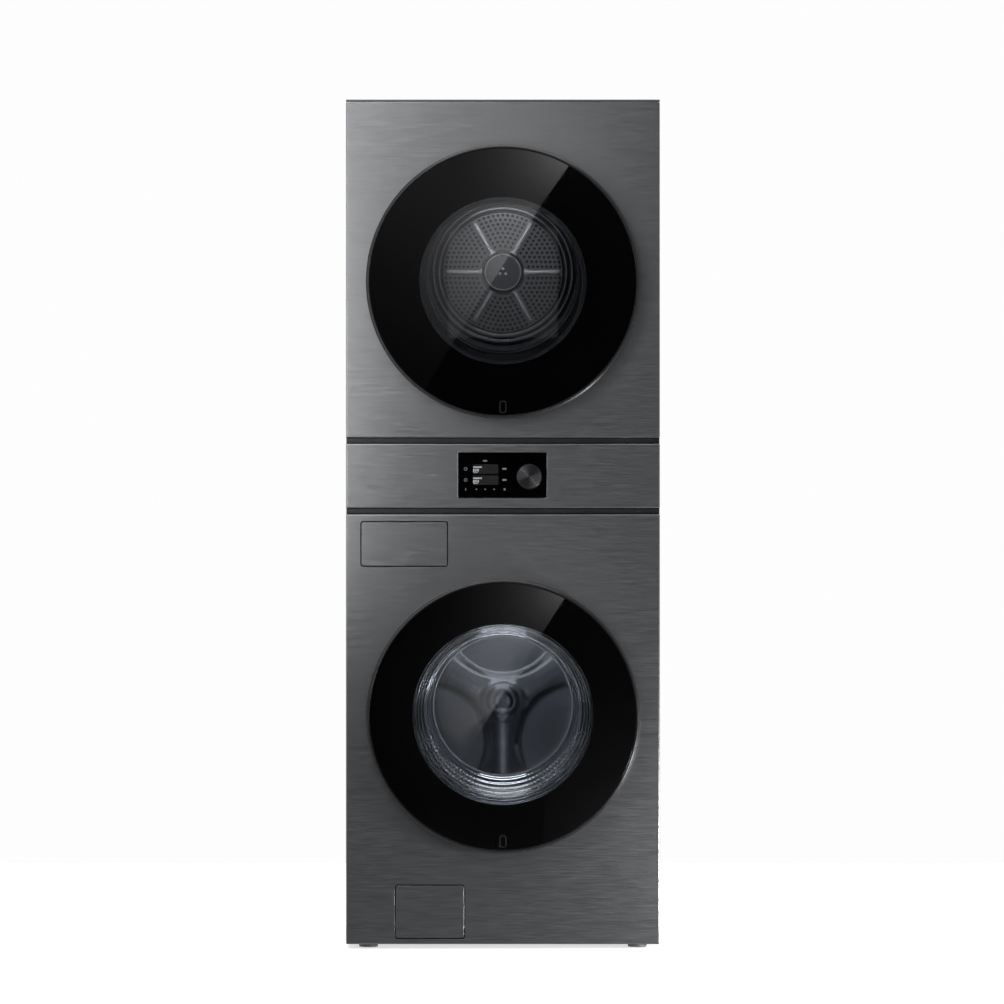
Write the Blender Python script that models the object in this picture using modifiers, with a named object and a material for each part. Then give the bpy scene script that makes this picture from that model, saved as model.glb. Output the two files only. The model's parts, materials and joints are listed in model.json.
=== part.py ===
"""Washer dryer stack: a front-loading washer under a front-loading dryer, in one cabinet.

Units are metres. X runs to the right, Y to the back and Z up, and the origin is on the floor
under the middle of the cabinet. Turned pieces are profiles of (radius, y) points, which run
from front to back down their outer side.
"""
import math

import bmesh
import bpy
from mathutils import Matrix, Vector

# Cabinet
GAP = 0.0003                     # left between pieces that rest on each other
HALF_WIDTH = 0.343
FRONT = -0.380                   # face of the front panels
PANEL_BACK = -0.350              # rear edge of the front panels' returns
BACK = 0.400
SHEET = 0.0015
PAN_WALL = 0.002
CHANNEL = 0.018                  # depth of a side panel with its folded flanges
FOOT_HEIGHT = 0.010
WASHER_TOP = 0.950
TRIM = 0.013                     # height of the dark strips above and below the fascia
FASCIA_BOTTOM = WASHER_TOP + TRIM
FASCIA_TOP = FASCIA_BOTTOM + 0.141
DRYER_BOTTOM = FASCIA_TOP + TRIM
DRYER_TOP = 1.8526
HEIGHT = 1.856
DECK_TOP = 1.030                 # floor of the dryer, roof of the washer
SEAM = 1.0205                    # joint between the washer's and the dryer's side panels
FOOT_X = 0.295
FOOT_Y = 0.300

# Doors
DOOR_RADIUS = 0.299
DOOR_BACK_RADIUS = 0.288
DOOR_FRONT = -0.415
DOOR_BACK = -0.383
GLASS_SEAT = -0.409
GLASS_RADIUS = 0.2917
LINER_RADIUS = 0.214             # hole in the door frame that holds the bowl or the liner
WASHER_DOOR_Z = 0.5084
DRYER_DOOR_Z = 1.457
HINGE_X = -0.287
HINGE_Y = -0.401
HINGE_POCKET = 0.055             # half height of the pocket round the hinge
KNUCKLE = 0.030                  # half height of the knuckle on the door
ARM_INNER = 0.035                # the bracket's arms, as heights from the door's centre
ARM_OUTER = 0.050
PIN_RADIUS = 0.003
TIP_RADIUS = 0.005               # the arms' ends are rounded, so that the door swings clear of them

# Washer
WASHER_MOUTH_Z = 0.511
WASHER_MOUTH_RADIUS = 0.205
TUB_Z = 0.528
DRUM_RADIUS = 0.267
LIFTER_ANGLES = (30, 150, 270)
VALVE_PORTS = (0.238, 0.278)     # places across the cabinet of the hot and cold water ports
VALVE_Z = 0.925

# Dryer
DRYER_MOUTH_RADIUS = 0.195
DRYER_DRUM_Z = 1.496
DRYER_DRUM_RADIUS = 0.287
SHAFT_X = 0.170                  # motor shaft of the dryer
SHAFT_Z = 1.135
EXHAUST_X = -0.060
EXHAUST_Z = 1.100
PULLEY_RADIUS = 0.009
BELT_SLACK = 0.0015              # between the belt and the turning surfaces
BELT_THICKNESS = 0.002

# Controls and service openings
DISPLAY_LOW = (-0.098, 0.985)
DISPLAY_HIGH = (0.096, 1.085)
DIAL_X = 0.0575
DIAL_Z = 1.032
DRAWER_LOW = (-0.309, 0.837)
DRAWER_HIGH = (-0.122, 0.932)
FLAP_LOW = (-0.234, 0.024)
FLAP_HIGH = (-0.085, 0.138)
FLAP_HINGE_Y = -0.377
FLAP_HINGE_Z = 0.029
PLATE_GAP = 0.002                # round the drawer front and the filter flap
FILTER_X = -0.150
FILTER_Z = 0.084
DRAIN_Z = 0.100                  # the pump's outlet pipe, which leaves through the rear panel
LINT_HALF_WIDTH = 0.075

# Colours, roughness and metallic value
DARK_STEEL = ((0.13, 0.135, 0.145), 0.35, 1.0)
BLACK_PLASTIC = ((0.012, 0.012, 0.014), 0.4, 0.0)
GREY_PLASTIC = ((0.30, 0.31, 0.33), 0.5, 0.0)
WHITE_PLASTIC = ((0.70, 0.71, 0.72), 0.5, 0.0)
BLACK_GLASS = ((0.010, 0.011, 0.014), 0.06, 0.0)
CLEAR_GLASS = ((0.35, 0.38, 0.40), 0.05, 0.0)
CHROME = ((0.75, 0.76, 0.78), 0.12, 1.0)
STAINLESS = ((0.52, 0.53, 0.54), 0.28, 1.0)
ZINC_SHEET = ((0.42, 0.43, 0.44), 0.45, 1.0)
CABINET_GREY = ((0.16, 0.165, 0.175), 0.45, 0.3)
GREY_RUBBER = ((0.22, 0.225, 0.235), 0.8, 0.0)
CAST_WEIGHT = ((0.25, 0.25, 0.25), 0.9, 0.0)
COPPER = ((0.55, 0.28, 0.16), 0.4, 1.0)
BOARD_GREEN = ((0.03, 0.16, 0.09), 0.5, 0.0)


# ---------------------------------------------------------------- tools

def add_object(name, data, finish=None):
    """Make an object; without a finish it is a cutter or an operand, kept out of the parts."""
    obj = bpy.data.objects.new(name, data)
    if finish is None:
        CUTTERS.objects.link(obj)
        obj.hide_render = True
        obj.display_type = 'WIRE'
        return obj
    PARTS.objects.link(obj)
    colour, roughness, metallic = finish
    material = bpy.data.materials.new(name)
    material.use_nodes = True
    shader = material.node_tree.nodes["Principled BSDF"]
    shader.inputs["Base Color"].default_value = (*colour, 1.0)
    shader.inputs["Roughness"].default_value = roughness
    shader.inputs["Metallic"].default_value = metallic
    data.materials.append(material)
    return obj


def mesh_from(name, bm):
    mesh = bpy.data.meshes.new(name)
    bm.to_mesh(mesh)
    bm.free()
    return mesh


def box(name, low, high, finish=None, radius=0.0, axis=1, segments=3):
    """A block between two corners; radius rounds its edges that run along the axis."""
    low, high = Vector(low), Vector(high)
    bm = bmesh.new()
    bmesh.ops.create_cube(bm, size=1.0)
    bmesh.ops.scale(bm, vec=high - low, verts=bm.verts)
    if radius:
        along = [edge for edge in bm.edges
                 if abs((edge.verts[0].co - edge.verts[1].co).normalized()[axis]) > 0.9]
        bmesh.ops.bevel(bm, geom=along, offset=radius, segments=segments, affect='EDGES',
                        profile=0.5)
    obj = add_object(name, mesh_from(name, bm), finish)
    obj.location = (low + high) / 2
    return obj


def rod(name, start, end, radius, finish=None, sides=16):
    """A round bar between two points."""
    start, end = Vector(start), Vector(end)
    bm = bmesh.new()
    bmesh.ops.create_cone(bm, cap_ends=True, segments=sides, radius1=radius, radius2=radius,
                          depth=(end - start).length)
    obj = add_object(name, mesh_from(name, bm), finish)
    obj.rotation_mode = 'QUATERNION'
    obj.rotation_quaternion = (end - start).to_track_quat('Z', 'Y')
    obj.location = (start + end) / 2
    obj.data.shade_smooth()
    obj.data.set_sharp_from_angle(angle=math.radians(40))
    return obj


def turned(name, profile, centre, finish=None, steps=32, upright=False):
    """Turn a profile about the line along Y through centre, or along Z if upright."""
    if upright:
        points = [(radius, 0.0, along) for radius, along in profile]
    else:
        points = [(radius, 0.0, -along) for radius, along in profile]
    edges = [(index, index + 1) for index in range(len(points) - 1)]
    if profile[0][0] > 0.0:
        edges.append((len(points) - 1, 0))
    mesh = bpy.data.meshes.new(name)
    mesh.from_pydata(points, edges, [])
    obj = add_object(name, mesh, finish)
    obj.location = centre
    if not upright:
        obj.rotation_euler = (math.radians(90), 0.0, 0.0)
    screw = obj.modifiers.new("Turn", 'SCREW')
    screw.steps = steps
    screw.render_steps = steps
    screw.use_merge_vertices = True
    screw.merge_threshold = 0.00001
    return obj


def ring(radius, y, z, steps=32):
    """Points round a circle that faces the front."""
    turns = [2 * math.pi * step / steps for step in range(steps)]
    return [(radius * math.cos(turn), y, z + radius * math.sin(turn)) for turn in turns]


def lofted(name, loops, finish, wraps):
    """Skin loops of equal length; the last joins the first, or both ends are capped."""
    bm = bmesh.new()
    rows = [[bm.verts.new(point) for point in loop] for loop in loops]
    pairs = list(zip(rows, rows[1:]))
    if wraps:
        pairs.append((rows[-1], rows[0]))
    else:
        bm.faces.new(rows[0])
        bm.faces.new(rows[-1])
    for first, second in pairs:
        for index, vert in enumerate(first):
            after = (index + 1) % len(first)
            bm.faces.new((vert, first[after], second[after], second[index]))
    bmesh.ops.recalc_face_normals(bm, faces=bm.faces)
    return add_object(name, mesh_from(name, bm), finish)


def tube(name, points, radius, finish):
    """A wire or pipe along a line of points."""
    curve = bpy.data.curves.new(name, 'CURVE')
    curve.dimensions = '3D'
    curve.bevel_depth = radius
    curve.bevel_resolution = 0
    curve.use_fill_caps = True
    spline = curve.splines.new('POLY')
    spline.points.add(len(points) - 1)
    for spot, point in zip(spline.points, points):
        spot.co = (*point, 1.0)
    return add_object(name, curve, finish)


def spokes(name, angles, inner, outer, width, front, back, z):
    """Flat bars that run outwards from the axis of a drum, as one operand."""
    bm = bmesh.new()
    size = Matrix.Diagonal((outer - inner, back - front, width, 1.0))
    place = Matrix.Translation(((outer + inner) / 2, (front + back) / 2, 0.0))
    for angle in angles:
        turn = Matrix.Rotation(-math.radians(angle), 4, 'Y')
        bmesh.ops.create_cube(bm, size=1.0, matrix=turn @ place @ size)
    obj = add_object(name, mesh_from(name, bm))
    obj.location = (0.0, 0.0, z)
    return obj


def combine(obj, operation, operands):
    for operand in operands:
        modifier = obj.modifiers.new(operation.title(), 'BOOLEAN')
        modifier.operation = operation
        modifier.solver = 'EXACT'
        modifier.object = operand


def cut(obj, *cutters):
    combine(obj, 'DIFFERENCE', cutters)


def join(obj, *pieces):
    combine(obj, 'UNION', pieces)


def pan(name, low, high, finish, wall, opened):
    """A box-shaped shell; opened names its open sides, such as '+Y' or '-Z'."""
    obj = box(name, low, high, finish)
    inner_low = [value + wall for value in low]
    inner_high = [value - wall for value in high]
    for side in opened:
        axis = 'XYZ'.index(side[1])
        if side[0] == '+':
            inner_high[axis] = high[axis] + wall
        else:
            inner_low[axis] = low[axis] - wall
    cut(obj, box(name + "_hollow", inner_low, inner_high))
    return obj


def pivot(name, place):
    """An empty on a joint's axis."""
    empty = bpy.data.objects.new(name, None)
    empty.location = place
    PARTS.objects.link(empty)
    return empty


def hang(parent, *pieces):
    for piece in pieces:
        piece.parent = parent
        piece.location = Vector(piece.location) - Vector(parent.location)


# ---------------------------------------------------------------- cabinet

def feet():
    profile = [(0.0, 0.034), (0.005, 0.034), (0.005, 0.0085), (0.014, 0.0085), (0.020, 0.005),
               (0.021, 0.0), (0.0, 0.0)]
    for side, x in (("left", -FOOT_X), ("right", FOOT_X)):
        turned("foot_front_" + side, profile, (x, -FOOT_Y, 0.0), GREY_RUBBER, 14, True)
        turned("foot_rear_" + side, profile, (x, FOOT_Y, 0.0), GREY_RUBBER, 14, True)


def floor_pans():
    """The washer's base pan and the deck that carries the dryer."""
    edge = HALF_WIDTH - SHEET - 0.0005
    front, back = PANEL_BACK + 0.0023, BACK - 0.0035
    pan_top = 0.045
    base = pan("washer_base_pan", (-edge, front, FOOT_HEIGHT), (edge, back, pan_top), ZINC_SHEET,
               PAN_WALL, ["+Z"])
    for x in (-FOOT_X, FOOT_X):
        for y in (-FOOT_Y, FOOT_Y):
            cut(base, rod("foot_hole", (x, y, 0.0), (x, y, 0.02), 0.0065, sides=12))
    pan("mid_deck", (-edge, front, DECK_TOP - 0.018), (edge, back, DECK_TOP), ZINC_SHEET,
        PAN_WALL, ["-Z"])


def side_panel(name, side, bottom, top):
    outer, inner = side * HALF_WIDTH, side * (HALF_WIDTH - CHANNEL)
    low = (min(outer, inner), PANEL_BACK + GAP, bottom)
    high = (max(outer, inner), BACK - SHEET, top)
    inward = "+X" if side < 0 else "-X"
    pan(name, low, high, CABINET_GREY, SHEET, [inward, "+Z", "-Z"])


def side_panels():
    for label, side in (("left", -1), ("right", 1)):
        side_panel("washer_side_" + label, side, FOOT_HEIGHT + GAP, SEAM)
        side_panel("dryer_side_" + label, side, SEAM + GAP, DRYER_TOP)


def rear_panels():
    edge = HALF_WIDTH - 0.002
    front = BACK - SHEET + GAP
    washer = box("washer_rear_panel", (-edge, front, 0.012), (edge, BACK, SEAM), ZINC_SHEET)
    for x in VALVE_PORTS:
        cut(washer, rod("port_hole", (x, 0.38, VALVE_Z), (x, 0.42, VALVE_Z), 0.016, sides=16))
    cut(washer, rod("drain_hole", (FILTER_X, 0.38, DRAIN_Z), (FILTER_X, 0.42, DRAIN_Z), 0.015))
    dryer = box("dryer_rear_panel", (-edge, front, SEAM + GAP), (edge, BACK, DRYER_TOP),
                ZINC_SHEET)
    cut(dryer, rod("exhaust_hole", (EXHAUST_X, 0.38, EXHAUST_Z), (EXHAUST_X, 0.42, EXHAUST_Z),
                   0.053, sides=24))


def top_cover():
    box("top_cover", (-HALF_WIDTH, FRONT, DRYER_TOP + GAP), (HALF_WIDTH, BACK, HEIGHT),
        CABINET_GREY)


def front_shell(name, bottom, top, finish, wall=SHEET):
    """A folded front panel with rounded upright edges, open at the back."""
    bend = 0.004
    obj = box(name, (-HALF_WIDTH, FRONT, bottom), (HALF_WIDTH, PANEL_BACK, top), finish)
    upright = [edge for edge in obj.data.edges
               if all(obj.data.vertices[v].co.y < 0.0 for v in edge.vertices)
               and abs(obj.data.vertices[edge.vertices[0]].co.x
                       - obj.data.vertices[edge.vertices[1]].co.x) < 0.001]
    marks = obj.data.attributes.new("bevel_weight_edge", 'FLOAT', 'EDGE')
    for edge in upright:
        marks.data[edge.index].value = 1.0
    bevel = obj.modifiers.new("Fold", 'BEVEL')
    bevel.limit_method = 'WEIGHT'
    bevel.width = bend
    bevel.segments = 3
    inner = box(name + "_hollow", (-HALF_WIDTH + wall, FRONT + wall, bottom + wall),
                (HALF_WIDTH - wall, PANEL_BACK + wall, top - wall), radius=bend - wall / 2, axis=2)
    cut(obj, inner)
    return obj


def plate_opening(name, low, high):
    """The hole in a front panel round a flush plate."""
    return box(name, (low[0] - PLATE_GAP, FRONT - 0.01, low[1] - PLATE_GAP),
               (high[0] + PLATE_GAP, FRONT + 0.01, high[1] + PLATE_GAP),
               radius=0.005 + PLATE_GAP)


def arm_slots(z):
    """Slots in a front panel for the arms of a hinge bracket."""
    slots = []
    for side in (-1, 1):
        ends = sorted((side * (ARM_INNER - 0.0015), side * (ARM_OUTER + 0.0015)))
        slots.append(box("arm_slot", (HINGE_X + 0.0095, FRONT - 0.01, z + ends[0]),
                         (HINGE_X + 0.0275, FRONT + 0.004, z + ends[1])))
    return slots


def front_panels():
    washer = front_shell("washer_front_panel", FOOT_HEIGHT, WASHER_TOP - GAP, DARK_STEEL)
    cut(washer, rod("washer_mouth", (0.0, -0.40, WASHER_MOUTH_Z), (0.0, -0.36, WASHER_MOUTH_Z),
                    WASHER_MOUTH_RADIUS, sides=40),
        plate_opening("drawer_opening", DRAWER_LOW, DRAWER_HIGH),
        plate_opening("flap_opening", FLAP_LOW, FLAP_HIGH),
        box("hook_slot", (0.220, FRONT - 0.01, WASHER_DOOR_Z - 0.014),
            (0.256, FRONT + 0.004, WASHER_DOOR_Z + 0.014)),
        *arm_slots(WASHER_DOOR_Z))
    dryer = front_shell("dryer_front_panel", DRYER_BOTTOM, DRYER_TOP, DARK_STEEL)
    cut(dryer, rod("dryer_mouth", (0.0, -0.40, DRYER_DOOR_Z), (0.0, -0.36, DRYER_DOOR_Z),
                   DRYER_MOUTH_RADIUS, sides=40),
        *arm_slots(DRYER_DOOR_Z))


# ---------------------------------------------------------------- controls

def fascia():
    """The control strip with the dark strips above and below it."""
    wall = 0.0035
    strip = front_shell("control_fascia", FASCIA_BOTTOM, FASCIA_TOP, DARK_STEEL, wall)
    seat = 0.0005
    cut(strip,
        box("display_seat", (DISPLAY_LOW[0] - seat, FRONT - 0.01, DISPLAY_LOW[1] - seat),
            (DISPLAY_HIGH[0] + seat, FRONT + 0.0024, DISPLAY_HIGH[1] + seat), radius=0.004),
        box("display_window", (DISPLAY_LOW[0] + 0.008, FRONT - 0.01, DISPLAY_LOW[1] + 0.008),
            (DISPLAY_HIGH[0] - 0.008, FRONT + 0.01, DISPLAY_HIGH[1] - 0.008)))
    edge = HALF_WIDTH - 0.001
    for name, bottom in (("trim_strip_lower", WASHER_TOP), ("trim_strip_upper", FASCIA_TOP)):
        box(name, (-edge, FRONT + 0.004, bottom + GAP), (edge, PANEL_BACK, bottom + TRIM - GAP),
            BLACK_PLASTIC)


def display():
    glass = box("display_glass", (DISPLAY_LOW[0], FRONT - 0.0006, DISPLAY_LOW[1]),
                (DISPLAY_HIGH[0], FRONT + 0.002, DISPLAY_HIGH[1]), BLACK_GLASS, radius=0.0035)
    cut(glass, rod("dial_hole", (DIAL_X, -0.39, DIAL_Z), (DIAL_X, -0.37, DIAL_Z), 0.0045))
    box("control_board", (-0.092, -0.368, 0.990), (0.092, -0.366, 1.080), BOARD_GREEN)


def dial():
    back = FRONT - 0.0010
    profile = [(0.0, -0.3985), (0.0245, -0.3985), (0.0265, -0.3970), (0.0282, back),
               (0.0030, back), (0.0030, -0.3685), (0.0, -0.3685)]
    knob = turned("dial_knob", profile, (DIAL_X, 0.0, DIAL_Z), CHROME, 20)
    hang(pivot("dial_axis", (DIAL_X, FRONT, DIAL_Z)), knob)


# ---------------------------------------------------------------- doors

def door_frame(name, z):
    """The round door's ring, with a pocket and a knuckle for its hinge."""
    profile = [(DOOR_RADIUS, DOOR_FRONT), (DOOR_RADIUS, DOOR_FRONT + 0.004),
               (DOOR_BACK_RADIUS, DOOR_BACK), (LINER_RADIUS, DOOR_BACK),
               (LINER_RADIUS, GLASS_SEAT), (GLASS_RADIUS + GAP, GLASS_SEAT),
               (GLASS_RADIUS + GAP, DOOR_FRONT)]
    frame = turned(name, profile, (0.0, 0.0, z), BLACK_PLASTIC, 40)
    cut(frame, box(name + "_pocket", (HINGE_X - 0.03, HINGE_Y - 0.006, z - HINGE_POCKET),
                   (HINGE_X + 0.030, DOOR_BACK + 0.01, z + HINGE_POCKET)))
    join(frame, box(name + "_knuckle", (HINGE_X - 0.005, HINGE_Y - 0.005, z - KNUCKLE),
                    (HINGE_X + 0.032, HINGE_Y + 0.005, z + KNUCKLE)))
    cut(frame, rod(name + "_pin_hole", (HINGE_X, HINGE_Y, z - 0.04), (HINGE_X, HINGE_Y, z + 0.04),
                   PIN_RADIUS + 0.0005, sides=12))
    return frame


def door_glass(name, z):
    profile = [(0.0, DOOR_FRONT + 0.0005), (GLASS_RADIUS - 0.002, DOOR_FRONT + 0.0005),
               (GLASS_RADIUS, DOOR_FRONT + 0.002), (GLASS_RADIUS, GLASS_SEAT - GAP),
               (0.0, GLASS_SEAT - GAP)]
    return turned(name, profile, (0.0, 0.0, z), BLACK_GLASS, 40)


def hinge_bracket(name, z):
    """Two arms that reach through the front panel and hold the hinge pin between them."""
    plate_front = FRONT + SHEET + GAP
    bracket = box(name, (HINGE_X - 0.013, plate_front, z - 0.070),
                  (HINGE_X + 0.037, plate_front + 0.004, z + 0.070), STAINLESS)
    for side in (-1, 1):
        ends = sorted((side * ARM_INNER, side * ARM_OUTER))
        join(bracket,
             box("arm", (HINGE_X + 0.012, HINGE_Y - 0.005, z + ends[0]),
                 (HINGE_X + 0.025, plate_front + 0.001, z + ends[1])),
             box("arm_tip", (HINGE_X - TIP_RADIUS, HINGE_Y - TIP_RADIUS, z + ends[0]),
                 (HINGE_X + 0.020, HINGE_Y + TIP_RADIUS, z + ends[1]),
                 radius=TIP_RADIUS - 0.0001, axis=2))
    join(bracket, rod("hinge_pin", (HINGE_X, HINGE_Y, z - ARM_OUTER + 0.005),
                      (HINGE_X, HINGE_Y, z + ARM_OUTER - 0.005), PIN_RADIUS, sides=12))


def washer_bowl():
    """The deep clear bowl behind the washer's glass: it narrows and rises towards the back."""
    seat = GLASS_SEAT + GAP
    sections = [(0.143, -0.306, 0.531), (0.158, -0.318, 0.529), (0.172, -0.345, 0.5225),
                (0.182, -0.372, 0.5175), (0.190, -0.401, 0.513), (0.190, seat, 0.511),
                (0.2125, seat, WASHER_DOOR_Z), (0.2125, -0.400, WASHER_DOOR_Z),
                (0.196, -0.396, 0.513), (0.1875, -0.372, 0.5165), (0.178, -0.343, 0.5215),
                (0.163, -0.314, 0.528), (0.145, -0.301, 0.531)]
    loops = [ring(radius, y, z) for radius, y, z in sections]
    return lofted("washer_door_bowl", loops, CLEAR_GLASS, wraps=False)


def washer_door():
    hook = box("washer_door_hook", (0.225, DOOR_BACK + GAP, WASHER_DOOR_Z - 0.008),
               (0.243, -0.356, WASHER_DOOR_Z + 0.008), STAINLESS)
    join(hook, box("hook_barb", (0.240, -0.363, WASHER_DOOR_Z - 0.008),
                   (0.248, -0.356, WASHER_DOOR_Z + 0.008)))
    hang(pivot("washer_door_axis", (HINGE_X, HINGE_Y, WASHER_DOOR_Z)),
         door_frame("washer_door_frame", WASHER_DOOR_Z),
         door_glass("washer_door_glass", WASHER_DOOR_Z), washer_bowl(), hook)
    hinge_bracket("washer_hinge_bracket", WASHER_DOOR_Z)


def dryer_door():
    seat = GLASS_SEAT + GAP
    profile = [(0.2125, seat), (0.2125, -0.401), (0.187, -0.401), (0.182, -0.364),
               (0.177, -0.358), (0.0, -0.358)]
    hollow = [(0.0, -0.362), (0.175, -0.362), (0.179, -0.367), (0.184, -0.404), (0.184, seat)]
    liner = lofted("dryer_door_liner",
                   [ring(max(radius, 0.02), y, DRYER_DOOR_Z) for radius, y in hollow]
                   + [ring(max(radius, 0.02), y, DRYER_DOOR_Z) for radius, y in profile],
                   CLEAR_GLASS, wraps=False)
    hang(pivot("dryer_door_axis", (HINGE_X, HINGE_Y, DRYER_DOOR_Z)),
         door_frame("dryer_door_frame", DRYER_DOOR_Z),
         door_glass("dryer_door_glass", DRYER_DOOR_Z), liner)
    hinge_bracket("dryer_hinge_bracket", DRYER_DOOR_Z)


# ---------------------------------------------------------------- drawer and drain filter

def detergent_drawer():
    tray_low, tray_high = (-0.297, -0.3662, 0.846), (-0.134, -0.100, 0.916)
    front = box("drawer_front", (DRAWER_LOW[0], FRONT, DRAWER_LOW[1]),
                (DRAWER_HIGH[0], tray_low[1] - GAP, DRAWER_HIGH[1]), DARK_STEEL, radius=0.005)
    tray = box("drawer_tray", tray_low, tray_high, WHITE_PLASTIC)
    wall, floor = 0.0025, 0.003
    split_x, split_y = -0.205, -0.235
    cups = [((tray_low[0] + wall, tray_low[1] + wall), (split_x, tray_high[1] - wall)),
            ((split_x + wall, tray_low[1] + wall), (tray_high[0] - wall, split_y)),
            ((split_x + wall, split_y + wall), (tray_high[0] - wall, tray_high[1] - wall))]
    for low, high in cups:
        cut(tray, box("cup", (*low, tray_low[2] + floor), (*high, tray_high[2] + 0.01)))
    hang(pivot("drawer_axis", (tray_low[0], FRONT, tray_low[2])), front, tray)
    pan("dispenser_housing", (-0.303, -0.364, 0.842), (-0.128, -0.090, 0.922), GREY_PLASTIC,
        0.003, ["-Y"])


def filter_service():
    """The flap at the foot of the washer, with the drain filter's cap and the pump behind it."""
    flap = box("filter_flap", (FLAP_LOW[0], FRONT, FLAP_LOW[1]),
               (FLAP_HIGH[0], FRONT + 0.007, FLAP_HIGH[1]), DARK_STEEL, radius=0.005)
    hang(pivot("flap_axis", ((FLAP_LOW[0] + FLAP_HIGH[0]) / 2, FLAP_HINGE_Y, FLAP_HINGE_Z)), flap)
    cap = turned("drain_filter_cap", [(0.0, -0.360), (0.024, -0.360), (0.027, -0.357),
                                      (0.027, -0.3515), (0.019, -0.3515), (0.019, -0.325),
                                      (0.0, -0.325)], (FILTER_X, 0.0, FILTER_Z), GREY_PLASTIC, 20)
    join(cap, box("cap_grip", (FILTER_X - 0.021, -0.370, FILTER_Z - 0.004),
                  (FILTER_X + 0.021, -0.3595, FILTER_Z + 0.004)))
    hang(pivot("cap_axis", (FILTER_X, -0.355, FILTER_Z)), cap)
    pump = rod("drain_pump", (FILTER_X, -0.351, FILTER_Z), (FILTER_X, -0.225, FILTER_Z), 0.026,
               GREY_PLASTIC, 20)
    join(pump, rod("pump_motor", (FILTER_X, -0.230, FILTER_Z), (FILTER_X, -0.145, FILTER_Z),
                   0.034, sides=20),
         rod("outlet_pipe", (FILTER_X, -0.200, DRAIN_Z), (FILTER_X, 0.415, DRAIN_Z), 0.012,
             sides=12))
    cut(pump, rod("filter_bore", (FILTER_X, -0.36, FILTER_Z), (FILTER_X, -0.300, FILTER_Z),
                  0.0205, sides=20))


# ---------------------------------------------------------------- washer inside


def tub_and_boot():
    turned("washer_tub",
           [(0.2135, -0.325), (0.2135, -0.310), (0.291, -0.299), (0.291, 0.176), (0.060, 0.176),
            (0.060, 0.196), (0.0175, 0.196), (0.0175, 0.160), (0.055, 0.160), (0.055, 0.171),
            (0.286, 0.171), (0.286, -0.295), (0.209, -0.306), (0.209, -0.325)],
           (0.0, 0.0, TUB_Z), GREY_PLASTIC)
    front, rear = (-0.377, 0.515), (-0.335, TUB_Z)
    sections = [(0.2035, -0.377), (0.2035, -0.366), (0.222, -0.352), (0.222, -0.338),
                (0.208, -0.332), (0.208, -0.3165), (0.204, -0.3165), (0.204, -0.335),
                (0.217, -0.341), (0.217, -0.350), (0.199, -0.363), (0.192, -0.368),
                (0.192, -0.377)]
    slope = (rear[1] - front[1]) / (rear[0] - front[0])
    loops = [ring(radius, y, min(rear[1], front[1] + slope * (y - front[0])))
             for radius, y in sections]
    lofted("door_boot", loops, GREY_RUBBER, wraps=True)
    turned("tub_counterweight", [(0.284, -0.336), (0.284, -0.3025), (0.228, -0.3105),
                                 (0.228, -0.336)], (0.0, 0.0, TUB_Z), CAST_WEIGHT, 20)


def tub_mounts():
    """Two springs that hang the tub from the deck and two dampers that stand under it."""
    spring_x, spring_y = 0.205, 0.060
    coil, wire, turns, per_turn = 0.012, 0.0018, 6, 6
    coil_bottom, coil_top, top, bottom = 0.765, 0.880, DECK_TOP - 0.0185, 0.742
    for label, side in (("left", -1), ("right", 1)):
        x = side * spring_x
        points = [(x, spring_y, bottom), (x, spring_y, coil_bottom - 0.006)]
        count = turns * per_turn
        for step in range(count + 1):
            turn = 2 * math.pi * step / per_turn
            rise = coil_bottom + (coil_top - coil_bottom) * step / count
            points.append((x + coil * math.cos(turn), spring_y + coil * math.sin(turn), rise))
        points += [(x, spring_y, coil_top + 0.006), (x, spring_y, top)]
        tube("tub_spring_" + label, points, wire, STAINLESS)
        rod("tub_damper_" + label, (side * 0.255, -0.040, 0.060), (side * 0.172, -0.040, 0.282),
            0.014, GREY_PLASTIC, 14)


def washer_drum():
    shell = turned("washer_drum", [(0.214, -0.292), (DRUM_RADIUS, -0.292), (DRUM_RADIUS, 0.138),
                                   (0.264, 0.138), (0.264, -0.289), (0.214, -0.289)],
                   (0.0, 0.0, TUB_Z), STAINLESS)
    back = turned("washer_drum_back", [(0.0, 0.112), (0.030, 0.114), (0.040, 0.121),
                                       (0.042, 0.131), (0.2625, 0.131), (0.2625, 0.137),
                                       (0.016, 0.137), (0.016, 0.250), (0.0, 0.250)],
                  (0.0, 0.0, TUB_Z), STAINLESS)
    join(back, spokes("drum_arms", LIFTER_ANGLES, 0.030, 0.250, 0.058, 0.122, 0.133, TUB_Z))
    rotor = turned("motor_rotor", [(0.142, 0.203), (0.142, 0.245), (0.0168, 0.245),
                                   (0.0168, 0.239), (0.136, 0.239), (0.136, 0.203)],
                   (0.0, 0.0, TUB_Z), ZINC_SHEET, 24)
    moving = [shell, back, rotor]
    for number, angle in enumerate(LIFTER_ANGLES, 1):
        lifter = box("washer_lifter_%d" % number, (-0.028, -0.255, 0.222), (0.028, 0.100, 0.2612),
                     GREY_PLASTIC)
        for vert in lifter.data.vertices:
            if vert.co.z < 0.0:
                vert.co.x *= 0.45
        lifter.data.transform(Matrix.Translation(lifter.location))
        lifter.location = (0.0, 0.0, TUB_Z)
        lifter.rotation_euler = (0.0, math.radians(90 - angle), 0.0)
        moving.append(lifter)
    hang(pivot("washer_drum_axis", (0.0, 0.0, TUB_Z)), *moving)
    turned("motor_stator", [(0.128, 0.200), (0.128, 0.230), (0.040, 0.230), (0.040, 0.1965),
                            (0.062, 0.1965), (0.062, 0.200)], (0.0, 0.0, TUB_Z), COPPER, 24)


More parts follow.
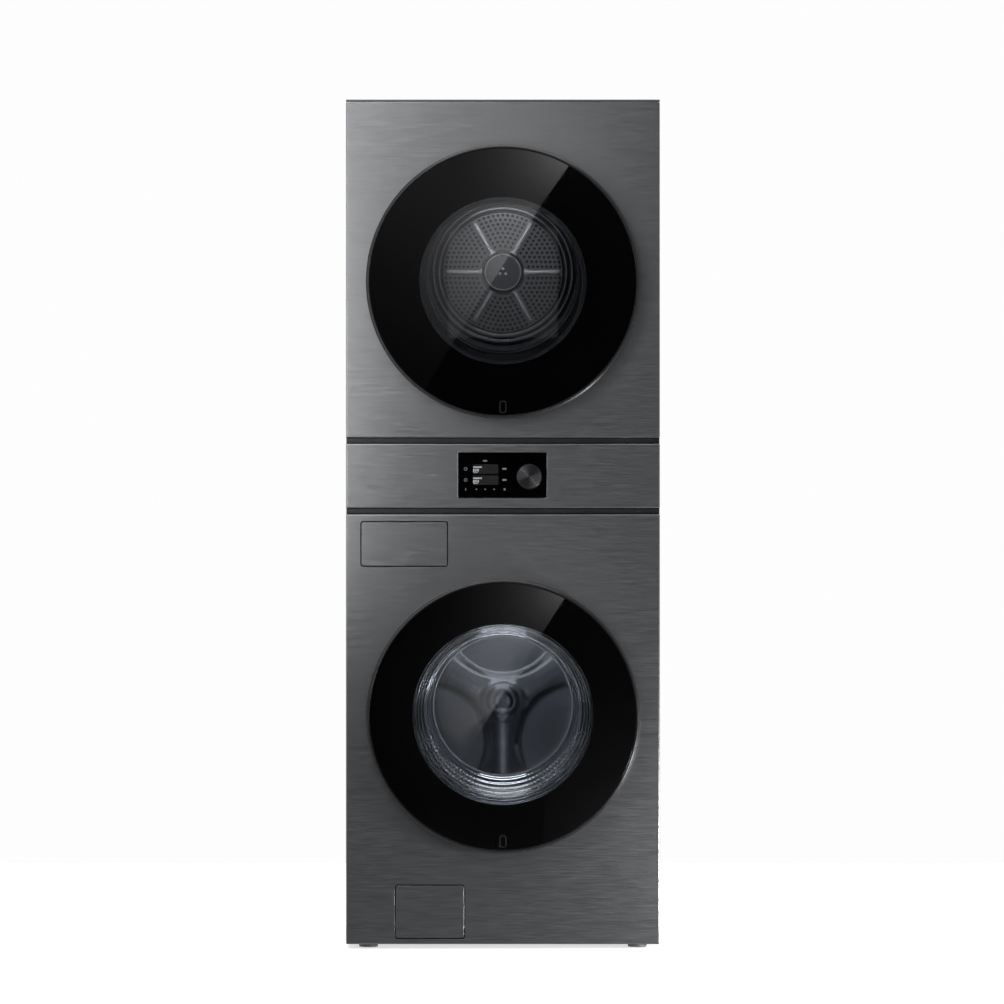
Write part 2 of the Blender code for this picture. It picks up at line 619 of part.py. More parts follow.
def inlet_valve():
    """The hot and cold water valve, with the drain outlet's elbow beside it."""
    valve = box("water_inlet_valve", (0.215, 0.330, 0.905), (0.300, 0.396, 0.945), GREY_PLASTIC)
    for x in VALVE_PORTS:
        join(valve, rod("port", (x, 0.390, VALVE_Z), (x, 0.415, VALVE_Z), 0.013, sides=16))


# ---------------------------------------------------------------- dryer inside

def dryer_bulkhead():
    """The fixed throat between the dryer's door and its drum, with the lint filter's well."""
    door, mouth, drum = DRYER_DOOR_Z + 0.002, 1.476, DRYER_DRUM_Z
    sections = [(0.201, -0.374, door), (0.201, -0.369, door), (0.195, -0.367, door),
                (0.167, -0.310, mouth - 0.0005), (0.292, -0.310, drum), (0.292, -0.306, drum),
                (0.163, -0.306, mouth), (0.163, -0.313, mouth - 0.001), (0.189, -0.369, door),
                (0.193, -0.374, door)]
    loops = [ring(radius, y, z) for radius, y, z in sections]
    throat = lofted("dryer_bulkhead", loops, GREY_PLASTIC, wraps=True)
    half = LINT_HALF_WIDTH
    join(throat, box("filter_well", (-half - 0.006, -0.357, 1.130), (half + 0.006, -0.327, 1.294)))
    cut(throat, box("filter_slot", (-half - 0.002, -0.354, 1.134), (half + 0.002, -0.330, 1.340)),
        box("well_outlet", (-half + 0.01, -0.340, 1.140), (half - 0.01, -0.310, 1.240)))
    screen = box("lint_filter", (-half, -0.352, 1.137), (half, -0.332, 1.300), GREY_PLASTIC)
    for side in (-1, 1):
        y = -0.342 + side * 0.012
        cut(screen, box("filter_window", (-half + 0.008, y - 0.010, 1.146),
                        (half - 0.008, y + 0.010, 1.278)))
    hang(pivot("lint_filter_axis", (0.0, -0.342, 1.300)), screen)


def dryer_drum():
    baffle = spokes("dryer_baffles", (90, 210, 330), 0.235, 0.2855, 0.046, -0.270, 0.150,
                    DRYER_DRUM_Z)
    shell = turned("dryer_drum", [(0.262, -0.302), (0.280, -0.302), (DRYER_DRUM_RADIUS, -0.295),
                                  (DRYER_DRUM_RADIUS, 0.198), (0.284, 0.198), (0.284, -0.294),
                                  (0.279, -0.299), (0.262, -0.299)],
                   (0.0, 0.0, DRYER_DRUM_Z), STAINLESS)
    join(shell, baffle)
    back = turned("dryer_drum_back",
                  [(0.0, 0.176), (0.034, 0.178), (0.042, 0.186), (0.042, 0.192), (0.137, 0.192),
                   (0.142, 0.184), (0.152, 0.184), (0.156, 0.188), (0.168, 0.188), (0.172, 0.192),
                   (0.2825, 0.192), (0.2825, 0.198), (0.012, 0.198), (0.012, 0.240), (0.0, 0.240)],
                  (0.0, 0.0, DRYER_DRUM_Z), STAINLESS)
    join(back, spokes("rear_ribs", range(0, 360, 60), 0.040, 0.136, 0.012, 0.186, 0.194,
                      DRYER_DRUM_Z))
    hang(pivot("dryer_drum_axis", (0.0, 0.0, DRYER_DRUM_Z)), shell, back)


def belt_outline(grow, sides=32):
    """Points of a loop round the drum and the motor pulley, off their surfaces by grow."""
    drum_radius = DRYER_DRUM_RADIUS + BELT_SLACK + grow
    pulley_radius = PULLEY_RADIUS + BELT_SLACK + grow
    span = Vector((SHAFT_X, SHAFT_Z - DRYER_DRUM_Z))
    heading = math.atan2(span.y, span.x)
    lean = math.acos((drum_radius - pulley_radius) / span.length)
    points = []
    for step in range(sides):
        turn = heading + lean + (2 * math.pi - 2 * lean) * step / (sides - 1)
        points.append((drum_radius * math.cos(turn), DRYER_DRUM_Z + drum_radius * math.sin(turn)))
    for step in range(8):
        turn = heading - lean + 2 * lean * step / 7
        points.append((SHAFT_X + pulley_radius * math.cos(turn),
                       SHAFT_Z + pulley_radius * math.sin(turn)))
    return points


def dryer_drive():
    """The motor, its shaft with the blower wheel and the pulley, and the drum's belt."""
    front, back = 0.074, 0.088
    loops = []
    for grow, y in ((0.0, front), (0.0, back), (BELT_THICKNESS, back), (BELT_THICKNESS, front)):
        loops.append([(x, y, z) for x, z in belt_outline(grow)])
    lofted("drive_belt", loops, BLACK_PLASTIC, wraps=True)
    shaft = turned("fan_and_pulley_shaft",
                   [(0.0, -0.246), (0.012, -0.246), (0.012, -0.240), (0.078, -0.240),
                    (0.078, -0.192), (0.012, -0.192), (0.005, -0.185), (0.005, 0.068),
                    (0.012, 0.068), (PULLEY_RADIUS, 0.072), (PULLEY_RADIUS, 0.090), (0.0, 0.090)],
                   (SHAFT_X, 0.0, SHAFT_Z), GREY_PLASTIC, 16)
    hang(pivot("motor_axis", (SHAFT_X, 0.0, SHAFT_Z)), shaft)
    motor = rod("dryer_motor", (SHAFT_X, -0.150, SHAFT_Z), (SHAFT_X, 0.055, SHAFT_Z), 0.060,
                ZINC_SHEET, 20)
    join(motor, box("motor_foot", (SHAFT_X - 0.050, -0.120, DECK_TOP + GAP),
                    (SHAFT_X + 0.050, 0.030, SHAFT_Z - 0.040)))
    cut(motor, rod("motor_bore", (SHAFT_X, -0.16, SHAFT_Z), (SHAFT_X, 0.06, SHAFT_Z), 0.007,
                   sides=12))


def dryer_air_path():
    """The blower's housing with the exhaust pipe, and the heater's duct behind the drum."""
    blower = rod("blower_housing", (SHAFT_X, -0.252, SHAFT_Z), (SHAFT_X, -0.170, SHAFT_Z), 0.095,
                 ZINC_SHEET, 24)
    join(blower,
         box("blower_outlet", (EXHAUST_X, -0.246, EXHAUST_Z - 0.035),
             (SHAFT_X, -0.178, EXHAUST_Z + 0.035)),
         rod("exhaust_pipe", (EXHAUST_X, -0.248, EXHAUST_Z), (EXHAUST_X, 0.415, EXHAUST_Z), 0.050,
             sides=24))
    cut(blower,
        rod("scroll_bore", (SHAFT_X, -0.26, SHAFT_Z), (SHAFT_X, -0.176, SHAFT_Z), 0.084, sides=24),
        rod("shaft_bore", (SHAFT_X, -0.18, SHAFT_Z), (SHAFT_X, -0.16, SHAFT_Z), 0.008, sides=12),
        rod("pipe_bore", (EXHAUST_X, -0.230, EXHAUST_Z), (EXHAUST_X, 0.42, EXHAUST_Z), 0.0475,
            sides=24))
    half, z = 0.165, DRYER_DRUM_Z
    back = BACK - SHEET - GAP
    duct = pan("heater_duct", (-half, 0.206, z - half), (half, back, z + half), ZINC_SHEET,
               0.003, ["-Y"])
    join(duct, rod("bearing", (0.0, 0.212, z), (0.0, back - 0.001, z), 0.028))
    cut(duct, rod("bearing_bore", (0.0, 0.20, z), (0.0, 0.250, z), 0.0135))


def build():
    feet()
    floor_pans()
    side_panels()
    rear_panels()
    top_cover()
    front_panels()
    fascia()
    display()
    dial()
    washer_door()
    dryer_door()
    detergent_drawer()
    filter_service()
    tub_and_boot()
    tub_mounts()
    washer_drum()
    inlet_valve()
    dryer_bulkhead()
    dryer_drum()
    dryer_drive()
    dryer_air_path()


for leftover in list(bpy.data.objects):
    bpy.data.objects.remove(leftover, do_unlink=True)
PARTS = bpy.data.collections.new("washer_dryer_stack")
CUTTERS = bpy.data.collections.new("cutters")
bpy.context.scene.collection.children.link(PARTS)
bpy.context.scene.collection.children.link(CUTTERS)
build()
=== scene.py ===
"""Looks of the washer dryer stack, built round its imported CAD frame. Units are metres."""
import json
import math

import bmesh
import bpy
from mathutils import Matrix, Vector

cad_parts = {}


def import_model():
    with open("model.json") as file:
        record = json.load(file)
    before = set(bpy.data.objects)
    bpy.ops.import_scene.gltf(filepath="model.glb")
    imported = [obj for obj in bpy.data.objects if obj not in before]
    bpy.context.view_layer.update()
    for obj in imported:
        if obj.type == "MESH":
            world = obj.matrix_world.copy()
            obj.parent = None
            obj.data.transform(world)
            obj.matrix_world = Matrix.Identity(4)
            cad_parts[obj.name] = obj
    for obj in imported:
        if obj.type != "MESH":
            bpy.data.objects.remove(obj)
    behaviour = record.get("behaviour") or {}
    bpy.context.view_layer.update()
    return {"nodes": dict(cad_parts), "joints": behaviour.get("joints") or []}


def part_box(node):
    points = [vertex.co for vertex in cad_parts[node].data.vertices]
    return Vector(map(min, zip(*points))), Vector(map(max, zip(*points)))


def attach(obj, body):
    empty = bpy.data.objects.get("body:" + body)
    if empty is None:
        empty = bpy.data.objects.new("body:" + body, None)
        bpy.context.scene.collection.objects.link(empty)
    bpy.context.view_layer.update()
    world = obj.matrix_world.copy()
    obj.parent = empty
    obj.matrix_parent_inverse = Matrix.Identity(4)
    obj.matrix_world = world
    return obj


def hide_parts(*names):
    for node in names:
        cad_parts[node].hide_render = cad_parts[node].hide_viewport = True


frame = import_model()
NODES = frame["nodes"]
JOINTS = {joint["name"]: joint for joint in frame["joints"]}


def middle(node):
    low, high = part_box(node)
    return (low + high) / 2


# ---------------------------------------------------------------- places taken from the frame

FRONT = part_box("washer_front_panel")[0].y
PANEL_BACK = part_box("washer_front_panel")[1].y
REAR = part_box("washer_rear_panel")[1].y
WASHER_DOOR = middle("washer_door_glass")
DRYER_DOOR = middle("dryer_door_glass")
DOOR_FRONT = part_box("washer_door_frame")[0].y
DOOR_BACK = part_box("washer_door_frame")[1].y
TUB_Z = JOINTS["wash_drum_spin"]["pos_m"][2]
TUMBLE_Z = JOINTS["tumble_drum_spin"]["pos_m"][2]
DIAL = Vector(JOINTS["dial_turn"]["pos_m"])
GLASS_RADIUS = (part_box("washer_door_glass")[1].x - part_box("washer_door_glass")[0].x) / 2
DOOR_RADIUS = (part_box("washer_door_frame")[1].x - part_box("washer_door_frame")[0].x) / 2


# ---------------------------------------------------------------- materials

def add_node(tree, kind, inputs=(), **settings):
    """Add a shader node; each of its inputs takes a value or another node's output."""
    node = tree.nodes.new("ShaderNode" + kind)
    for setting, value in settings.items():
        setattr(node, setting, value)
    for socket, value in dict(inputs).items():
        if isinstance(value, bpy.types.NodeSocket):
            tree.links.new(value, node.inputs[socket])
        else:
            node.inputs[socket].default_value = value
    return node


class Look:
    """A Principled material with procedural detail in object space."""

    def __init__(self, name, colour, roughness, metallic=0.0, **sockets):
        self.material = bpy.data.materials.new(name)
        self.material.use_nodes = True
        self.tree = self.material.node_tree
        self.inputs = self.tree.nodes["Principled BSDF"].inputs
        self.colour = colour
        self.roughness = roughness
        values = {"Base Color": (*colour, 1.0), "Roughness": roughness, "Metallic": metallic}
        for socket, value in (values | sockets).items():
            self.inputs[socket.replace("_", " ")].default_value = value

    def feed(self, socket, output):
        self.tree.links.new(output, self.inputs[socket])

    def noise(self, scale, stretch=(1.0, 1.0, 1.0), detail=3.0, kind="TexNoise"):
        """A noise or cell texture whose grain is stretched along the axes; returns its value."""
        place = add_node(self.tree, "TexCoord").outputs["Object"]
        mapping = add_node(self.tree, "Mapping", {"Scale": stretch, "Vector": place})
        texture = add_node(self.tree, kind, {"Scale": scale, "Vector": mapping.outputs["Vector"]})
        if "Detail" in texture.inputs:
            texture.inputs["Detail"].default_value = detail
        return texture.outputs["Distance" if kind == "TexVoronoi" else 0]

    def spread(self, source, low, high):
        """Stretch the middle of a texture's values to run from low to high."""
        ends = {"From Min": 0.3, "From Max": 0.7, "To Min": low, "To Max": high, "Value": source}
        return add_node(self.tree, "MapRange", ends).outputs["Result"]

    def vary_roughness(self, source, amount):
        self.feed("Roughness", self.spread(source, self.roughness - amount,
                                           self.roughness + amount))

    def vary_colour(self, source, amount):
        """Lighten and darken the colour by a share of itself."""
        dark = (*[c * (1 - amount) for c in self.colour], 1.0)
        pale = (*[min(c * (1 + amount), 1.0) for c in self.colour], 1.0)
        mix = add_node(self.tree, "Mix", {"A": dark, "B": pale,
                                          "Factor": self.spread(source, 0.0, 1.0)},
                       data_type='RGBA')
        self.feed("Base Color", mix.outputs["Result"])

    def bump(self, source, depth):
        node = add_node(self.tree, "Bump", {"Distance": depth, "Height": source})
        self.feed("Normal", node.outputs["Normal"])


def brushed(name, colour, roughness, grain=(1.0, 60.0, 60.0), depth=0.00004, **sockets):
    """Metal with fine brushing along the axis that grain stretches least."""
    look = Look(name, colour, roughness, 1.0, **sockets)
    lines = look.noise(22.0, grain, 6.0)
    look.vary_roughness(lines, 0.06)
    look.vary_colour(lines, 0.06)
    look.bump(lines, depth)
    return look.material


def spun(name, colour, roughness):
    """Metal turned on a lathe, so its shine spreads across the rings."""
    look = Look(name, colour, roughness, 1.0, Anisotropic=0.9, Anisotropic_Rotation=0.25)
    tangent = add_node(look.tree, "Tangent", direction_type='RADIAL', axis='Y')
    look.feed("Tangent", tangent.outputs["Tangent"])
    look.vary_roughness(look.noise(200.0), 0.02)
    look.bump(look.noise(300.0, detail=1.0), 0.000002)
    return look.material


def pressed(name, colour, roughness, metallic=1.0):
    """Smooth pressed metal with slow waves and a faint cloudiness."""
    look = Look(name, colour, roughness, metallic)
    look.vary_colour(look.noise(12.0), 0.05)
    look.vary_roughness(look.noise(35.0), 0.03)
    look.bump(look.noise(18.0, detail=1.0), 0.00004)
    return look.material


def moulded(name, colour, roughness, grain=900.0, depth=0.00004, **sockets):
    """Plastic or rubber with a fine moulded texture and slight unevenness."""
    look = Look(name, colour, roughness, 0.0, **sockets)
    look.vary_colour(look.noise(7.0), 0.06)
    look.vary_roughness(look.noise(30.0), 0.04)
    look.bump(look.noise(grain, detail=1.0), depth)
    return look.material


def sheet_metal(name, colour, roughness, metallic, cells, depth):
    """Coated sheet: faint spangle or orange peel over slow waves."""
    look = Look(name, colour, roughness, metallic)
    look.vary_colour(look.noise(cells, kind="TexVoronoi"), 0.10)
    look.vary_roughness(look.noise(9.0), 0.05)
    look.bump(look.noise(cells * 4.0, detail=2.0), depth)
    return look.material


def clear(name, tint, roughness=0.0, index=1.45):
    """Glass or clear plastic, with very faint flow lines."""
    look = Look(name, tint, roughness, 0.0, Transmission_Weight=1.0, IOR=index)
    look.bump(look.noise(5.0, detail=1.0), 0.00002)
    return look.material


def glowing(name, colour, strength):
    """Print or segments that are lit from behind."""
    look = Look(name, (0.01, 0.01, 0.01), 0.14, Emission_Color=(*colour, 1.0),
                Emission_Strength=strength)
    look.vary_roughness(look.noise(40.0), 0.05)
    return look.material


INOX = brushed("inox", (0.268, 0.272, 0.28), 0.34, depth=0.000022)
INOX_PLATE = brushed("inox_plate", (0.268, 0.272, 0.28), 0.34, depth=0.000022)
PAINT = sheet_metal("cabinet_paint", (0.085, 0.088, 0.094), 0.42, 0.2, 260.0, 0.00005)
ZINC = sheet_metal("zinc", (0.50, 0.51, 0.53), 0.38, 0.9, 55.0, 0.00003)
GLOSS_BLACK = moulded("gloss_black", (0.005, 0.005, 0.006), 0.30, 1500.0, 0.00001)
STRIP_BLACK = moulded("strip_black", (0.004, 0.004, 0.0045), 0.42, 1500.0, 0.00002)
INK = moulded("inked_glass", (0.001, 0.001, 0.0012), 0.015, 300.0, 0.000002)
CLEAR_PANE = clear("clear_pane", (1.0, 1.0, 1.0), 0.0, 1.50)
BOWL_GLASS = clear("bowl_glass", (0.90, 0.94, 1.0), 0.0, 1.50)
BOWL_WALL = clear("bowl_wall", (0.80, 0.86, 0.95), 0.015, 1.50)
# Pale grey for the bead at the bowl's rear edge: the bead's shape is the real rim, its paleness a
# painted highlight for the glass edge's bright line.
BEAD_PAINTED_HIGHLIGHT = moulded("bowl_bead_painted_highlight", (0.26, 0.29, 0.33), 0.12, 800.0, 0.00001)
CHROME = brushed("chrome_ring", (0.62, 0.63, 0.65), 0.16, (40.0, 40.0, 40.0), 0.00001)
STAINLESS = brushed("stainless", (0.42, 0.43, 0.45), 0.30, (30.0, 2.0, 30.0), 0.00001)
DRUM_STEEL = pressed("drum_steel", (0.22, 0.232, 0.255), 0.34)
SCREEN_STEEL = pressed("screen_steel", (0.15, 0.162, 0.185), 0.38)
TUMBLE_STEEL = pressed("tumble_steel", (0.12, 0.132, 0.155), 0.30)
# Near-white steel for the dryer's rear ribs, hub rim and rivets: a painted highlight, far paler
# than the drum's own steel.
HUB_STEEL_PAINTED_HIGHLIGHT = pressed("hub_steel_painted_highlight", (0.86, 0.90, 0.96), 0.38, 0.35)
HUB_FACE = pressed("hub_face", (0.085, 0.092, 0.105), 0.34)
# Near-black for a sheet inside the hot air duct: painted shade for the duct's dark depth.
DUCT_PAINTED_SHADE = moulded("duct_painted_shade", (0.012, 0.012, 0.013), 0.7, 300.0, 0.0001)
SLATE = moulded("slate_plastic", (0.034, 0.040, 0.050), 0.36)
RUBBER = moulded("boot_rubber", (0.10, 0.105, 0.115), 0.50, 500.0, 0.00008)
GREY = moulded("grey_plastic", (0.20, 0.21, 0.225), 0.45)
WHITE = moulded("white_plastic", (0.72, 0.73, 0.74), 0.40)
CAST = moulded("cast_weight", (0.12, 0.12, 0.125), 0.80, 120.0, 0.0006)
COPPER = brushed("copper_winding", (0.60, 0.27, 0.14), 0.38, (50.0, 50.0, 4.0), 0.0002)
BOARD = moulded("board", (0.015, 0.11, 0.06), 0.45, 400.0, 0.0001)
BELT = moulded("belt_rubber", (0.02, 0.02, 0.021), 0.7, 700.0, 0.0001)
BLUE_CAP = moulded("blue_collar", (0.03, 0.09, 0.30), 0.42)
RED_CAP = moulded("red_collar", (0.32, 0.03, 0.03), 0.42)
LABEL = moulded("label_film", (0.62, 0.63, 0.64), 0.35, 500.0, 0.00001)
PRINT = glowing("print", (0.80, 0.84, 0.90), 0.22)
SEGMENT = glowing("segment", (0.86, 0.90, 0.96), 0.45)
SCREEN = glowing("screen", (0.30, 0.33, 0.38), 0.010)
DIAL_SIDE = brushed("dial_side", (0.16, 0.165, 0.17), 0.30, (40.0, 40.0, 40.0), 0.00002)
DIAL_FACE = spun("dial_face", (0.075, 0.075, 0.08), 0.38)
PICTO = glowing("pictogram", (0.5, 0.5, 0.5), 0.006)


# ---------------------------------------------------------------- mesh tools

def polar(radius, turn, x=0.0, v=0.0):
    """The point at a radius and a turn round (x, v)."""
    return x + radius * math.cos(turn), v + radius * math.sin(turn)


def circle(x, v, radius, steps=144):
    """An outline function: points round a circle, off its edge by grow."""
    def outline(grow):
        return [polar(radius + grow, 2 * math.pi * step / steps, x, v) for step in range(steps)]
    return outline


def rounded_rect(low, high, radii, steps=8):
    """An outline function for a rectangle; radii start at the corner (+, +) and turn left."""
    if not isinstance(radii, tuple):
        radii = (radii,) * 4

    def outline(grow):
        points = []
        for corner, (sx, sv) in enumerate(((1, 1), (-1, 1), (-1, -1), (1, -1))):
            radius = max(radii[corner] + grow, 0.0001)
            x = (high[0] + grow - radius) if sx > 0 else (low[0] - grow + radius)
            v = (high[1] + grow - radius) if sv > 0 else (low[1] - grow + radius)
            for step in range(steps + 1):
                turn = math.radians(90 * (corner + step / steps))
                points.append(polar(radius, turn, x, v))
        return points
    return outline


def front_of(node, radii, gap=0.0):
    """The outline of a node seen from the front, with a gap round it."""
    low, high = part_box(node)
    return rounded_rect((low.x - gap, low.z - gap), (high.x + gap, high.z + gap), radii)


PLANES = {
    "front": lambda u, v, depth: (u, depth, v),
    "top": lambda u, v, depth: (u, v, depth),
    "side": lambda u, v, depth: (depth, u, v),
}


def add_loop(bm, points):
    return [bm.verts.new(point) for point in points]


def skin(bm, loops, wraps=False):
    pairs = list(zip(loops, loops[1:]))
    if wraps:
        pairs.append((loops[-1], loops[0]))
    for first, second in pairs:
        for index, vert in enumerate(first):
            after = (index + 1) % len(first)
            bm.faces.new((vert, first[after], second[after], second[index]))


def cap(bm, loops):
    """Fill the flat area inside the first loop and outside the others."""
    if len(loops) == 1:
        bm.faces.new(loops[0])
        return
    edges = []
    for loop in loops:
        for first, second in zip(loop, loop[1:] + loop[:1]):
            edges.append(bm.edges.get((first, second)) or bm.edges.new((first, second)))
    bmesh.ops.triangle_fill(bm, use_beauty=True, use_dissolve=False, edges=edges)


def close(bm, loops):
    cap(bm, [loops[0]])
    cap(bm, [loops[-1]])


def soften(obj, width, angle=28.0):
    """Round the piece's sharp edges, and keep its flat faces flat to the light."""
    if width:
        bevel = obj.modifiers.new("Soften", 'BEVEL')
        bevel.width = width
        bevel.segments = 3
        bevel.limit_method = 'ANGLE'
        bevel.angle_limit = math.radians(angle)
        bevel.use_clamp_overlap = False
    even = obj.modifiers.new("Even", 'WEIGHTED_NORMAL')
    even.keep_sharp = True
    return obj


def finish_mesh(name, bm, material, body, replaces=(), slot=None, sharp=35.0):
    bmesh.ops.recalc_face_normals(bm, faces=bm.faces)
    mesh = bpy.data.meshes.new(name)
    bm.to_mesh(mesh)
    bm.free()
    mesh.shade_smooth()
    mesh.set_sharp_from_angle(angle=math.radians(sharp))
    mesh.materials.append(material)
    obj = bpy.data.objects.new(name, mesh)
    bpy.context.scene.collection.objects.link(obj)
    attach(obj, body)
    if replaces:
        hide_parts(*replaces)
    return obj


def sweep(name, rows, material, body, wraps=False, **ties):
    """A skin over rows of points, closed by caps or by joining its last row to its first."""
    bm = bmesh.new()
    loops = [add_loop(bm, points) for points in rows]
    skin(bm, loops, wraps)
    if not wraps:
        close(bm, loops)
    return finish_mesh(name, bm, material, body, **ties)


def ring(centre, radius, y, steps=144):
    """Points round a circle that stands across Y."""
    return [(u, y, v) for u, v in circle(*centre, radius, steps)(0.0)]


def plate(name, outline, rings, material, body, holes=(), hole_rings=None, plane="front", **ties):
    """A sheet or shell: the outline follows rings of (inset, depth) from face to back."""
    place = PLANES[plane]
    bm = bmesh.new()

    def trace(shape, steps, sign):
        loops = [add_loop(bm, [place(u, v, depth) for u, v in shape(sign * inset)])
                 for inset, depth in steps]
        skin(bm, loops)
        return loops
    outer = trace(outline, rings, -1)
    inner = [trace(hole, hole_rings, 1) for hole in holes]
    cap(bm, [outer[0]] + [loops[0] for loops in inner])
    cap(bm, [outer[-1]] + [loops[-1] for loops in inner])
    return soften(finish_mesh(name, bm, material, body, **ties), 0.0)


def edge_rings(face, bevel, steps=4):
    """(inset, depth) of a rounded edge that starts on the face and turns back."""
    rings = []
    for step in range(steps + 1):
        turn = math.pi / 2 * step / steps
        rings.append((abs(bevel) * (1 - math.sin(turn)), face + bevel * (1 - math.cos(turn))))
    return rings


def slab(name, outline, face, back, bevel, material, body, holes=(), plane="front", **ties):
    """A solid plate with its edges rounded on the face side."""
    sign = 1 if back > face else -1
    rings = edge_rings(face, sign * bevel) + [(0.0, back)]
    return plate(name, outline, rings, material, body, holes, rings, plane, **ties)


def lathe(name, profile, centre, material, body, steps=144, wraps=True, edge=0.0, **ties):
    """Turn (radius, y) points about the line along Y through centre."""
    rows = [ring(centre, radius, y, steps) for radius, y in profile]
    return soften(sweep(name, rows, material, body, wraps, **ties), edge)


def cuboid(low, high):
    bm = bmesh.new()
    bmesh.ops.create_cube(bm, size=1.0)
    low, high = Vector(low), Vector(high)
    bmesh.ops.scale(bm, vec=high - low, verts=bm.verts)
    bmesh.ops.translate(bm, vec=(low + high) / 2, verts=bm.verts)
    return bm


def block(name, low, high, radius, material, body, **ties):
    """A box with rounded edges."""
    bm = cuboid(low, high)
    bmesh.ops.bevel(bm, geom=bm.edges[:], offset=radius, segments=4, profile=0.5, affect='EDGES')
    return finish_mesh(name, bm, material, body, **ties)


def carve(obj, *cutters):
    """Cut operands out of a piece and apply the result."""
    for cutter in cutters:
        modifier = obj.modifiers.new("Carve", 'BOOLEAN')
        modifier.operation = 'DIFFERENCE'
        modifier.object = cutter
    graph = bpy.context.evaluated_depsgraph_get()
    mesh = bpy.data.meshes.new_from_object(obj.evaluated_get(graph))
    obj.modifiers.clear()
    obj.data = mesh
    mesh.set_sharp_from_angle(angle=math.radians(35))
    for cutter in cutters:
        bpy.data.objects.remove(cutter)
    return obj


def operand(low, high):
    """A box to cut with."""
    bm = cuboid(low, high)
    mesh = bpy.data.meshes.new("operand")
    bm.to_mesh(mesh)
    bm.free()
    obj = bpy.data.objects.new("operand", mesh)
    bpy.context.scene.collection.objects.link(obj)
    return obj


# ---------------------------------------------------------------- front panels

SHEET = 0.0015
EDGE = 0.0028
SEAT = (0.004, 0.0012)  # corner radius and gap of the display's seat in the fascia


def opening(node, gap=0.0026, radius=0.005):
    """The outline round a flush plate, a gap larger than the plate."""
    return front_of(node, radius + gap, gap)


def arm_holes(node):
    """Slots round the two arms of a hinge bracket."""
    low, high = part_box(node)
    centre = (low.z + high.z) / 2
    inner, outer = 0.0335, 0.0515
    spans = ((centre - outer, centre - inner), (centre + inner, centre + outer))
    left, right = low.x + 0.0225, low.x + 0.0405
    return [rounded_rect((left, bottom), (right, top), 0.002, 3) for bottom, top in spans]


def front_panel(name, node, radii, holes=()):
    """A hollow front sheet with rounded edges, its holes turned in a little."""
    rings = edge_rings(FRONT, EDGE) + [(0.0, PANEL_BACK), (SHEET, PANEL_BACK),
                                       (SHEET, FRONT + EDGE), (EDGE, FRONT + SHEET)]
    hole_rings = edge_rings(FRONT, 0.0003) + [(0.0, FRONT + SHEET)]
    plate(name, front_of(node, radii), rings, INOX, "cabinet", holes, hole_rings,
          replaces=(node,), slot="brushed_dark_steel")


def skin_of(node, radius, bevel, material, body, slot):
    """A plain plate in place of a node of that shape."""
    low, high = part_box(node)
    slab(node + "_skin", front_of(node, radius), low.y, high.y, bevel, material, body,
         replaces=(node,), slot=slot)


def front_panels():
    small, top = 0.0015, 0.0055
    washer_mouth = circle(0.0, 0.511, 0.205)
    hook_slot = rounded_rect((0.220, WASHER_DOOR.z - 0.014), (0.256, WASHER_DOOR.z + 0.014), 0.004)
    front_panel("washer_front_skin", "washer_front_panel", (small, small, 0.003, 0.003),
                [washer_mouth, opening("drawer_front"), opening("filter_flap"), hook_slot]
                + arm_holes("washer_hinge_bracket"))
    front_panel("dryer_front_skin", "dryer_front_panel", (top, top, small, small),
                [circle(0.0, DRYER_DOOR.z, 0.195)] + arm_holes("dryer_hinge_bracket"))
    front_panel("fascia_skin", "control_fascia", small, [front_of("display_glass", *SEAT)])
    skin_of("drawer_front", 0.005, 0.0006, INOX_PLATE, "detergent_drawer", "brushed_dark_steel")
    skin_of("filter_flap", 0.005, 0.0006, INOX_PLATE, "service_flap", "brushed_dark_steel")
    for node in ("trim_strip_lower", "trim_strip_upper"):
        skin_of(node, 0.001, 0.002, STRIP_BLACK, "cabinet", "black_trim")


def filter_recess():
    """The dark well behind the flap, open round the filter's cap."""
    cap_low, cap_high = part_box("drain_filter_cap")
    front, back = FRONT + 0.0020, cap_low.y + 0.0080
    gap, wall = 0.0032, 0.0015
    inner = front_of("filter_flap", 0.006, gap)
    outer = front_of("filter_flap", 0.0075, gap + wall)
    rings = [(0.0, front), (0.0, back)]
    plate("filter_recess_wall", outer, rings, STRIP_BLACK, "cabinet", [inner], rings)
    rings = [(0.0, back), (0.0, back + wall)]
    mouth = circle((cap_low.x + cap_high.x) / 2, (cap_low.z + cap_high.z) / 2,
                   (cap_high.x - cap_low.x) / 2 + 0.0025, 64)
    plate("filter_recess_back", outer, rings, STRIP_BLACK, "cabinet", [mouth], rings)


# ---------------------------------------------------------------- doors

def door_ring(name, node, body, door):
    """The polished ring round a door's glass, with its hinge pocket and knuckle."""
    radius, seat = DOOR_RADIUS, DOOR_FRONT + 0.006
    profile = [(radius - 0.0040, DOOR_FRONT), (radius, DOOR_FRONT + 0.0035),
               (radius, DOOR_FRONT + 0.0070), (radius - 0.011, DOOR_BACK), (0.214, DOOR_BACK),
               (0.214, seat), (GLASS_RADIUS + 0.0004, seat), (GLASS_RADIUS + 0.0004, DOOR_FRONT)]
    hinge = JOINTS[node]["pos_m"]
    rim = lathe(name, profile, (door.x, door.z), GLOSS_BLACK, body, 192)
    pocket = operand((hinge[0] - 0.03, hinge[1] - 0.006, door.z - 0.055),
                     (hinge[0] + 0.030, DOOR_BACK + 0.01, door.z + 0.055))
    soften(carve(rim, pocket), 0.0006)
    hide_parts(body + "_frame")
    block(body + "_knuckle", (hinge[0] - 0.005, hinge[1] - 0.005, door.z - 0.030),
          (hinge[0] + 0.031, hinge[1] + 0.005, door.z + 0.030), 0.0015, STAINLESS, body)


